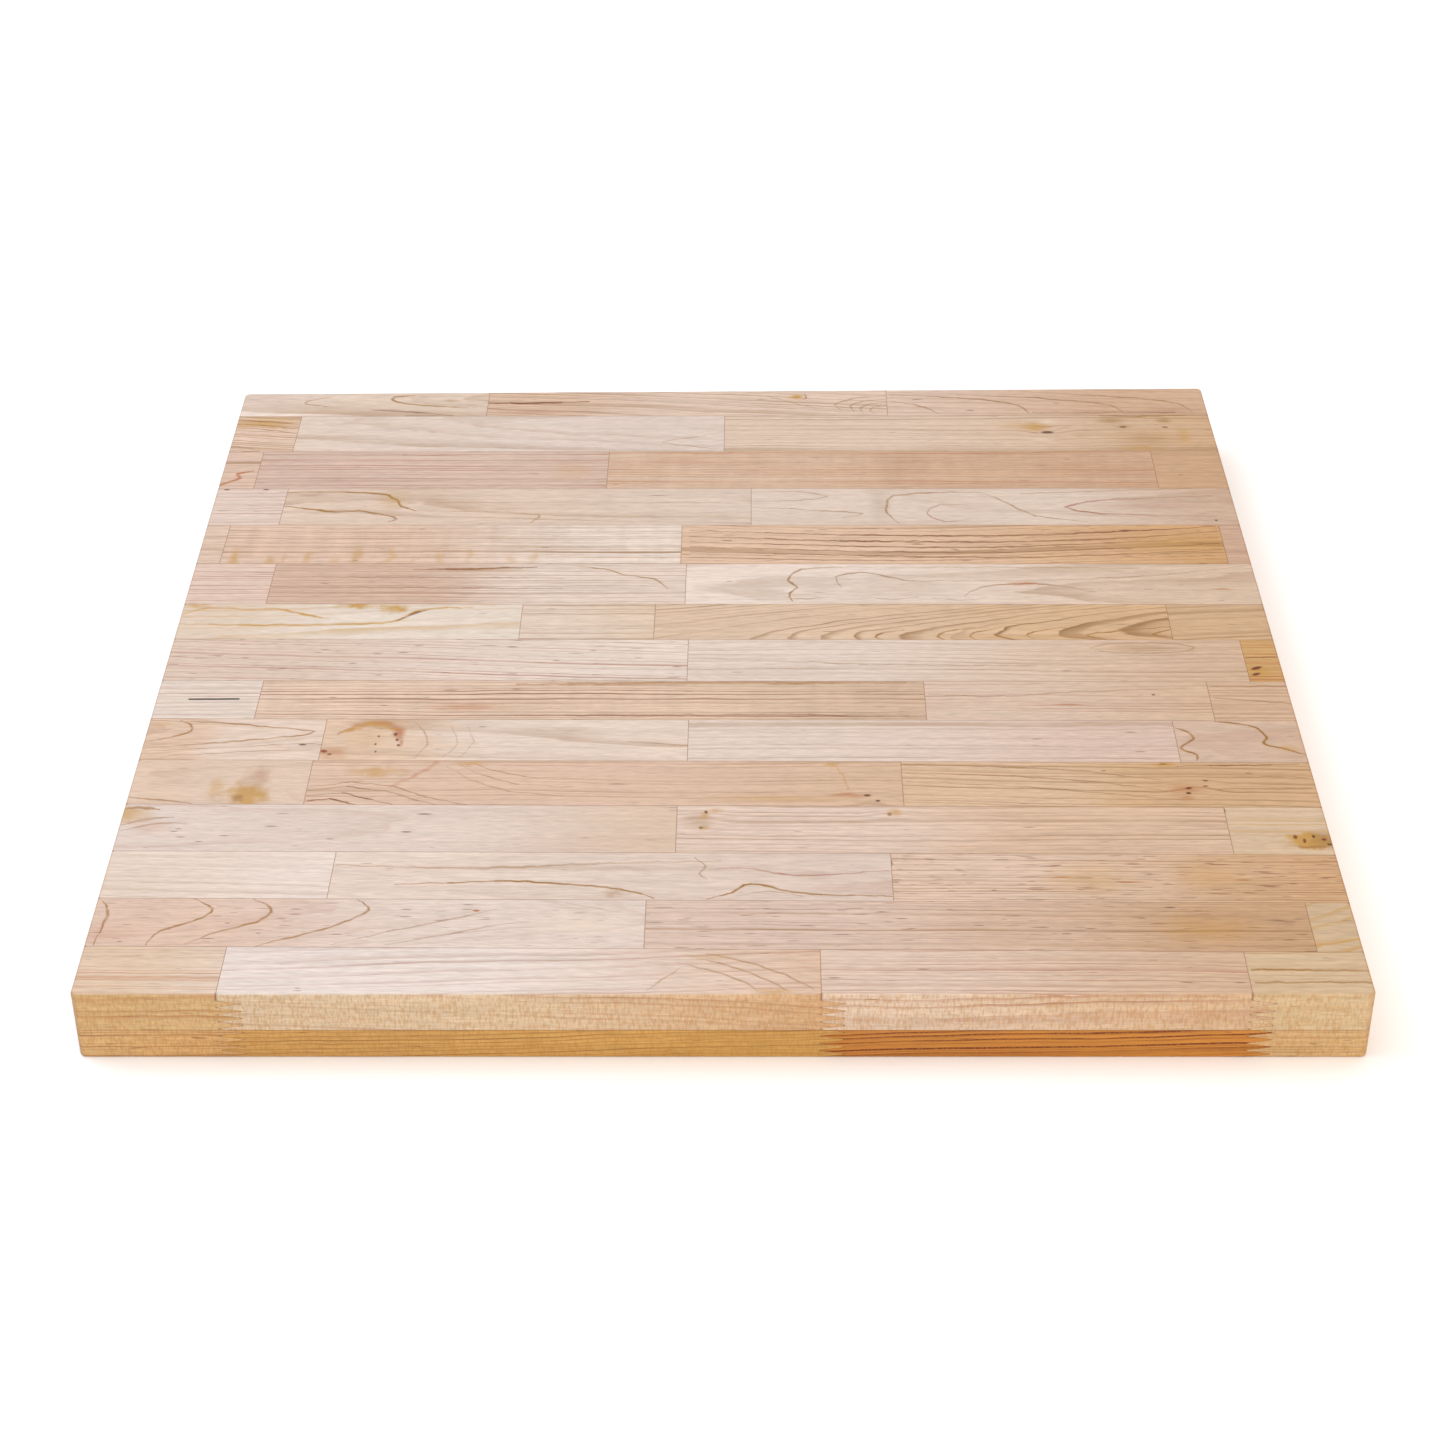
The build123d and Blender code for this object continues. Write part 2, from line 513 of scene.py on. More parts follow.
    def mask(
        self, tree: bpy.types.NodeTree, feature: Feature, place: bpy.types.Node, ragged: bpy.types.Node,
        to_board: Callable[[tuple[float, float]], Vector], passes: int,
    ) -> bpy.types.Node:
        """Draw one feature as a share from 0 outside to 1 in its middle.

        Args:
            tree: The material's nodes.
            feature: The feature.
            place: Place in the board.
            ragged: Noise that roughens the outline.
            to_board: Turns a point of the slab into one of the board.
            passes: How many times a drawn line's corners are rounded.

        Returns:
            The node that gives the share.
        """
        if feature.rough:
            wander = 2 * feature.rough
            place = add(tree, "VectorMath", {0: ragged, 1: (wander, wander, 0), 2: place},
                        operation="MULTIPLY_ADD")
        points = [to_board(p) for p in feature.path]
        if len(points) == 1:
            turn = (0, 0, math.radians(feature.turn))
            local = add(tree, "Mapping", {0: place, 1: (*points[0], 0), 2: turn,
                                          3: (feature.a, feature.b, feature.depth)}, vector_type="TEXTURE")
            reach = add(tree, "VectorMath", {0: local}, operation="LENGTH").outputs["Value"]
        else:
            reach = None
            points = rounded(points, passes)
            last = len(points) - 2
            for i, (p, q) in enumerate(zip(points, points[1:])):
                # A line of several runs tapers towards its ends
                taper = 1.0 if last == 0 else min(1.0, 0.4 + 0.3 * min(i, last - i))
                width = feature.b * taper
                half = (q - p).length / 2 / width
                turn = (0, 0, math.atan2(q.y - p.y, q.x - p.x))
                local = add(tree, "Mapping", {0: place, 1: (*((p + q) / 2), 0), 2: turn,
                                              3: (width, width, feature.depth)}, vector_type="TEXTURE")
                near = add(tree, "VectorMath", {0: local, 1: (half, 0, 0)}, operation="MINIMUM")
                near = add(tree, "VectorMath", {0: near, 1: (-half, 0, 0)}, operation="MAXIMUM")
                gap = add(tree, "VectorMath", {0: local, 1: near}, operation="DISTANCE").outputs["Value"]
                if reach is None:
                    reach = gap
                else:
                    reach = add(tree, "Math", {0: reach, 1: gap}, operation="MINIMUM").outputs[0]
        return add(tree, "MapRange", {0: reach, 1: 1.0, 2: 1.0 - feature.soft, 3: 0.0, 4: 1.0},
                   interpolation_type="SMOOTHSTEP")

    def oil_shade_and_glue(
        self, tree: bpy.types.NodeTree, colour: bpy.types.NodeSocket, place: bpy.types.Node,
        edge_oil_and_shade_tint: tuple[float, float, float],
    ) -> bpy.types.NodeSocket:
        """Deepen the sawn edges, partly for oil and partly as painted shade, deepen the end grain for oil,
        and draw the glue line.

        Args:
            tree: The material's nodes.
            colour: Colour of the bare wood.
            place: Place in the board.
            edge_oil_and_shade_tint: How much the sawn edges keep of red, green and blue, partly for oil and
                partly as painted shade.

        Returns:
            The colour with its oiled and painted-shade edges, rays and glue line.
        """
        normal = add(tree, "NewGeometry").outputs["True Normal"]
        facing = add(tree, "VectorMath", {0: normal}, operation="ABSOLUTE")
        axes = add(tree, "SeparateXYZ", {0: facing})
        rays = add(tree, "VectorMath", {0: place, 1: [1 / s for s in self.ray_mm]}, operation="MULTIPLY")
        rays = add(tree, "TexNoise", {"Vector": rays, "Scale": 1.0, "Detail": 1.0})
        rays = add(tree, "MapRange", {0: rays, 1: 0.42, 2: 0.68, 3: 0.0, 4: self.ray_share})
        # Sawn edges: partly oil soaking in and partly painted shade on the sides that face away from the
        # light
        edge = add(tree, "Mix", {0: axes.outputs[1], 6: (1, 1, 1, 1), 7: (*edge_oil_and_shade_tint, 1.0)}, data_type="RGBA")
        end = add(tree, "Mix", {0: axes.outputs[0], 6: edge.outputs[2], 7: linear(self.end_tint)},
                  data_type="RGBA")
        colour = add(tree, "Mix", {0: 1.0, 6: colour, 7: end.outputs[2]}, data_type="RGBA",
                     blend_type="MULTIPLY")

        # Rays show as short golden ticks where a sawn edge cuts across them
        ray_share = add(tree, "Math", {0: rays, 1: axes.outputs[1]}, operation="MULTIPLY")
        colour = add(tree, "Mix", {0: ray_share, 6: colour.outputs[2], 7: linear(self.ray)}, data_type="RGBA")
        seam = add(tree, "Attribute", attribute_name="glue_line").outputs["Fac"]
        share = add(tree, "Math", {0: seam, 1: self.glue_share}, operation="MULTIPLY")
        glued = add(tree, "Mix", {0: share, 6: colour.outputs[2], 7: linear(self.glue)}, data_type="RGBA")
        return glued.outputs[2]


@dataclass(frozen=True)
class FingerJoint:
    """The joint cut in the ends of two blocks, as seen on the front edge."""

    fingers: int = 8
    length: float = 11.0
    tip: float = 0.5
    shoulder: float = 3.3

    def profile(self, thickness: float) -> list[tuple[float, float]]:
        """Heights up the joint and how far right it reaches at each.

        Args:
            thickness: Thickness of the blocks.

        Returns:
            Pairs of height and reach, from the underside to the top.
        """
        pitch = (thickness - self.shoulder) / self.fingers
        half = self.tip / 2
        points = [(0.0, 0.0)]
        for finger in range(self.fingers):
            root, middle = finger * pitch, (finger + 0.5) * pitch
            points += [(root + half, 0.0), (middle - half, self.length), (middle + half, self.length)]
            points.append((root + pitch - half, 0.0))
        points.append((thickness, 0.0))
        return points

    def reach(self, z: float, thickness: float) -> float:
        """How far right the joint reaches at one height.

        Args:
            z: Height above the underside.
            thickness: Thickness of the blocks.

        Returns:
            The reach.
        """
        points = self.profile(thickness)
        for (z0, x0), (z1, x1) in zip(points, points[1:]):
            if z <= z1 and z1 > z0:
                return x0 + (x1 - x0) * (z - z0) / (z1 - z0)
        return 0.0


@dataclass(frozen=True)
class Slab:
    """Sizes of the trimmed top that every block is cut to."""

    width: float = 609.6
    depth: float = 609.6
    thickness: float = 38.1
    upper_ply: float = 21.4
    corner: float = 3.2
    ease: float = 1.2
    skew: float = 0.5
    ease_steps: int = 6
    corner_steps: int = 8
    hairline: float = 0.3
    glue_fade: float = 0.9
    joint: FingerJoint = FingerJoint()

    @property
    def seam(self) -> float:
        """Height of the glue line between the two plies."""
        return self.thickness - self.upper_ply

    def ease_heights(self) -> list[float]:
        """Heights that round the two arrises evenly."""
        turns = [math.radians(90 * i / self.ease_steps) for i in range(self.ease_steps + 1)]
        steps = [self.ease * (1 - math.cos(turn)) for turn in turns]
        return steps + [self.thickness - s for s in steps]

    def inset(self, z: float) -> float:
        """How far the outline is drawn in at one height by the eased arrises."""
        near = max(0.0, min(z, self.thickness - z, self.ease))
        return self.ease - math.sqrt(max(0.0, self.ease**2 - (self.ease - near) ** 2))


class Side(Enum):
    """Sides of a block in plan, anticlockwise, with their outward direction."""

    FRONT = (0, -1)
    RIGHT = (1, 0)
    BACK = (0, 1)
    LEFT = (-1, 0)


class Shade(Enum):
    """Material slots of the record, by how dark the board is."""

    CREAM = "maple_cream"
    PINK = "maple_pink"
    TAN = "maple_tan"
    DARK = "maple_brown"


CREAM, PINK, TAN, DARK = Shade


@dataclass
class Block:
    """One two-ply block, built as two closed shells in one mesh.

    Attributes:
        name: Name of its node.
        shade: Material slot of the record that it matches; it is only logged.
        left: Line of its left joint on the top face, or None at a sawn end.
        right: Line of its right joint, or None at a sawn end.
        start: Where its left end shows on its rail's centre line.
        length: Length it shows on top.
        front: Front glue line, or None along the front edge.
        back: Back glue line, or None along the back edge.
        middle: Centre line of its rail.
        upper: Figure of the upper ply.
        lower: Figure of the lower ply.
        seed: Value that sets its noise apart.
        slab: The slab it is part of.
    """

    name: str
    shade: Shade
    left: float | None
    right: float | None
    start: float
    length: float
    front: float | None
    back: float | None
    middle: float
    upper: Board
    lower: Board
    seed: float
    slab: Slab

    @property
    def glue_lines(self) -> list[float | None]:
        """Its glue lines in the order of its sides."""
        return [self.front, self.right, self.back, self.left]

    def side_line(self, side: Side, z: float, margin: float) -> tuple[Vector, Vector, bool]:
        """One side's line in plan at a height.

        Args:
            side: Which side.
            z: Height above the underside.
            margin: Distance that the side is drawn in.

        Returns:
            A point on the line, the line's direction and whether the side is glued.
        """
        slab = self.slab
        glued = self.glue_lines[list(Side).index(side)]
        across, along = side.value
        if glued is None:
            gap = slab.inset(z) + margin
            point = Vector((across * (slab.width / 2 - gap), along * (slab.depth / 2 - gap)))
            return point, Vector((-along, across)), False
        turn = Matrix.Rotation(math.radians(-slab.skew), 2)
        if along:
            point = Vector((0.0, glued - along * margin))
        else:
            point = Vector((glued + slab.joint.reach(z, slab.thickness) - across * margin, 0.0))
        return turn @ point, turn @ Vector((-along, across)), True

    def plan(self, z: float, margin: float) -> list[tuple[Vector, float, Side]]:
        """The block's outline in plan at a height.

        Args:
            z: Height above the underside.
            margin: Distance that the sides are drawn in.

        Returns:
            Points anticlockwise from the front left, each with its share of
            glue line and the side that runs on from it.
        """
        order = list(Side)
        lines = {side: self.side_line(side, z, margin) for side in order}
        points = []
        for before, after in zip([order[-1]] + order[:-1], order):
            (p, d, glued_before), (q, e, glued_after) = lines[before], lines[after]
            if not (glued_before or glued_after):
                points += self.corner(before, after, z, margin)
                continue
            span = (q - p).cross(e) / d.cross(e)
            corner = p + d * span
            if not glued_before:
                points.append((corner - d * self.slab.glue_fade, 0.0, before))
            points.append((corner, 1.0, after))
            if not glued_after:
                points.append((corner + e * self.slab.glue_fade, 0.0, after))
        return points

    def corner(
        self, before: Side, after: Side, z: float, margin: float,
    ) -> list[tuple[Vector, float, Side]]:
        """Go round one rounded corner of the slab.

        Args:
            before: The side that runs up to the corner.
            after: The side that runs on from it.
            z: Height above the underside.
            margin: Distance that the sides are drawn in.

        Returns:
            Points, shares of glue line and sides, as a plan has them.
        """
        slab = self.slab
        outward = Vector(before.value) + Vector(after.value)
        inner = Vector((slab.width / 2 - slab.corner, slab.depth / 2 - slab.corner))
        centre = outward * inner
        radius = slab.corner - slab.inset(z) - margin
        first = math.atan2(before.value[1], before.value[0])
        points = []
        for step in range(slab.corner_steps + 1):
            angle = first + math.radians(90) * step / slab.corner_steps
            side = before if step < slab.corner_steps / 2 else after
            points.append((centre + radius * Vector((math.cos(angle), math.sin(angle))), 0.0, side))
        return points

    def heights(self, low: float, high: float) -> list[float]:
        """Find every height at which one ply's outline changes.

        Args:
            low: Height of the ply's lower face.
            high: Height of its upper face.

        Returns:
            The heights, from the lower face to the upper one.
        """
        slab = self.slab
        found = {low, high}
        if None in self.glue_lines:
            found |= {*slab.ease_heights(), slab.seam - slab.hairline, slab.seam + slab.hairline}
        if self.left is not None or self.right is not None:
            found |= {z for z, _ in slab.joint.profile(slab.thickness)}
        inside = sorted(z for z in found if low <= z <= high)
        return [z for i, z in enumerate(inside) if i == 0 or z - inside[i - 1] > SAME_HEIGHT]

    def shell(self, mesh: bmesh.types.BMesh, low: float, high: float, ply: int) -> None:
        """Add one ply as a closed shell.

        Args:
            mesh: The mesh that takes it.
            low: Height of its lower face.
            high: Height of its upper face.
            ply: Material number of the ply, 0 for the upper one.
        """
        glue = mesh.verts.layers.float["glue_line"]
        side_of = mesh.faces.layers.int["side"]
        rows = []
        for z in self.heights(low, high):
            outline = self.plan(z, 0.0)
            at_seam = abs(z - self.slab.seam) < SAME_HEIGHT
            row = []
            for point, share, _ in outline:
                vert = mesh.verts.new((point.x * MM, point.y * MM, z * MM))
                vert[glue] = 1.0 if at_seam else share
                row.append(vert)
            rows.append(row)
        tags = [list(Side).index(side) for _, _, side in outline]
        for below, above in zip(rows, rows[1:]):
            for i, tag in enumerate(tags):
                j = (i + 1) % len(tags)
                face = mesh.faces.new((below[i], below[j], above[j], above[i]))
                face[side_of] = tag
                face.material_index = ply
        self.cap(mesh, rows[-1], high, ply, TOP_TAG)
        self.cap(mesh, rows[0], low, ply, BOTTOM_TAG)

    def cap(
        self, mesh: bmesh.types.BMesh, rim: list[bmesh.types.BMVert], z: float, ply: int, tag: int,
    ) -> None:
        """Close one end of a shell, with a hairline of glue round a face that shows.

        Args:
            mesh: The mesh that takes it.
            rim: The shell's outline at that end.
            z: Height of the end.
            ply: Material number of the ply.
            tag: Tag of the end's face.
        """
        slab = self.slab
        side_of = mesh.faces.layers.int["side"]
        shows = z in (0.0, slab.thickness)
        inner = rim
        if shows:
            drawn_in = [point for point, _, _ in self.plan(z, slab.hairline)]
            inner = [mesh.verts.new((point.x * MM, point.y * MM, z * MM)) for point in drawn_in]
        loops = [inner]
        if shows:
            outer_next, inner_next = rim[1:] + rim[:1], inner[1:] + inner[:1]
            loops += [list(corners) for corners in zip(rim, outer_next, inner_next, inner)]
        for loop in loops:
            face = mesh.faces.new(loop if tag == TOP_TAG else loop[::-1])
            face[side_of] = tag if shows else tag + HIDDEN_STEP
            face.material_index = ply

    def build(self) -> bpy.types.Object:
        """Build the block's mesh.

        Returns:
            The object, not yet dressed.
        """
        slab = self.slab
        mesh = bmesh.new()
        mesh.verts.layers.float.new("glue_line")
        mesh.faces.layers.int.new("side")
        self.shell(mesh, slab.seam, slab.thickness, 0)
        self.shell(mesh, 0.0, slab.seam, 1)
        for ply in (0, 1):
            verts = list({v for f in mesh.faces if f.material_index == ply for v in f.verts})
            bmesh.ops.remove_doubles(mesh, verts=verts, dist=WELD * MM)
        bmesh.ops.dissolve_degenerate(mesh, edges=mesh.edges, dist=SLIVER * MM)
        for edge in mesh.edges:
            edge.smooth = edge.calc_face_angle(math.pi) < math.radians(SMOOTH_BELOW)
        for face in mesh.faces:
            face.smooth = True
        self.unwrap(mesh)
        data = bpy.data.meshes.new(self.name)
        mesh.to_mesh(data)
        mesh.free()
        piece = bpy.data.objects.new(self.name.replace("rail", "maple_rail"), data)
        bpy.context.scene.collection.objects.link(piece)
        return piece

    def unwrap(self, mesh: bmesh.types.BMesh) -> None:
        """Lay the faces out flat, the visible ones large and the glued ones small.

        Args:
            mesh: The block's mesh, which takes the pattern.
        """
        slab = self.slab
        layer = mesh.loops.layers.uv.new("OFBake")
        side_of = mesh.faces.layers.int["side"]
        islands = {}
        for face in mesh.faces:
            islands.setdefault(face[side_of], []).append(face)
        turn = Matrix.Rotation(math.radians(slab.skew), 2)
        boxes = []
        for tag, faces in islands.items():
            upright = tag < TOP_TAG
            hidden = tag > BOTTOM_TAG or (upright and self.glue_lines[tag] is not None)
            shrink = GLUED_SCALE if hidden else 1.0
            flat = {}
            for face in faces:
                for loop in face.loops:
                    x, y, z = loop.vert.co / MM
                    u, v = turn @ Vector((x, y))
                    rolled = z + (slab.inset(z) if z > slab.thickness / 2 else -slab.inset(z))
                    across = v if tag in (1, 3) else u
                    flat[loop] = (across * shrink, (rolled if upright else v) * shrink)
            low = [min(p[k] for p in flat.values()) for k in (0, 1)]
            size = [max(p[k] for p in flat.values()) - low[k] for k in (0, 1)]
            if size[0] < size[1]:
                flat = {loop: (p[1], p[0]) for loop, p in flat.items()}
                low, size = low[::-1], size[::-1]
            boxes.append((size, low, flat))
        boxes.sort(key=lambda box: box[0][0], reverse=True)
        scale, spots = self.pack([box[0] for box in boxes])
        for (size, low, flat), (x, y) in zip(boxes, spots):
            for loop, (u, v) in flat.items():
                loop[layer].uv = ((u - low[0]) * scale + x, (v - low[1]) * scale + y)

    @staticmethod
    def pack(sizes: list[list[float]]) -> tuple[float, list[tuple[float, float]]]:
        """Place rectangles on shelves in the unit square.

        Args:
            sizes: Widths and heights in millimetres, widest first.

        Returns:
            The scale that fits, and each rectangle's lower left corner.
        """
        gap = PATTERN_GAP
        scale = 0.98 / sizes[0][0]
        while True:
            x, y, shelf, spots = gap, gap, 0.0, []
            for width, height in sizes:
                if x + width * scale > 1 - gap / 2:
                    x, y, shelf = gap, y + shelf + gap, 0.0
                spots.append((x, y))
                x += width * scale + gap
                shelf = max(shelf, height * scale)
            if y + shelf <= 1 - gap and all(sx + w * scale <= 1 for (sx, _), (w, _) in zip(spots, sizes)):
                return scale, spots
            scale *= 0.97


@dataclass(frozen=True)
class Cut:
    """One block of a rail: the length it shows on top, its shade and its boards.

    The one block of each rail that has no length of its own takes what the
    others leave, and a block without a lower board gets one at random.
    """

    length: float | None
    shade: Shade
    upper: Board
    lower: Board | None = None


@dataclass(frozen=True)
class Rail:
    """One rail: its sawn width and its blocks from left to right."""

    width: float
    cuts: tuple[Cut, ...]


# Lower plies that show along the front edge.  Their deep orange tones are partly the wood's colour and partly
# painted shade of the front face
FRONT_LOWER = (
    Board("#C9A879", "#C6A271", pith=(0, -90), spacing=2.6, line=0.55, ink=UMBER, warp=1.0, flecks=0.9),
    Board(
        "#BE985B", "#BD9756", pith=(0, -90), dip=1.4, spacing=2.4, line=0.6, thin=0.4, ink=BROWN, warp=2.6,
        flecks=0.5),
    Board(
        "#B37934", "#B87E34", pith=(0, -120), dip=2.2, spacing=2.4, line=0.95, thin=0.6, ink=KNOT, warp=2.6,
        flecks=0.6),
    Board("#BFA47C", "#BFA57D", pith=(0, -90), spacing=2.2, line=0.35, ink=UMBER, warp=1.2, flecks=1.0),
)

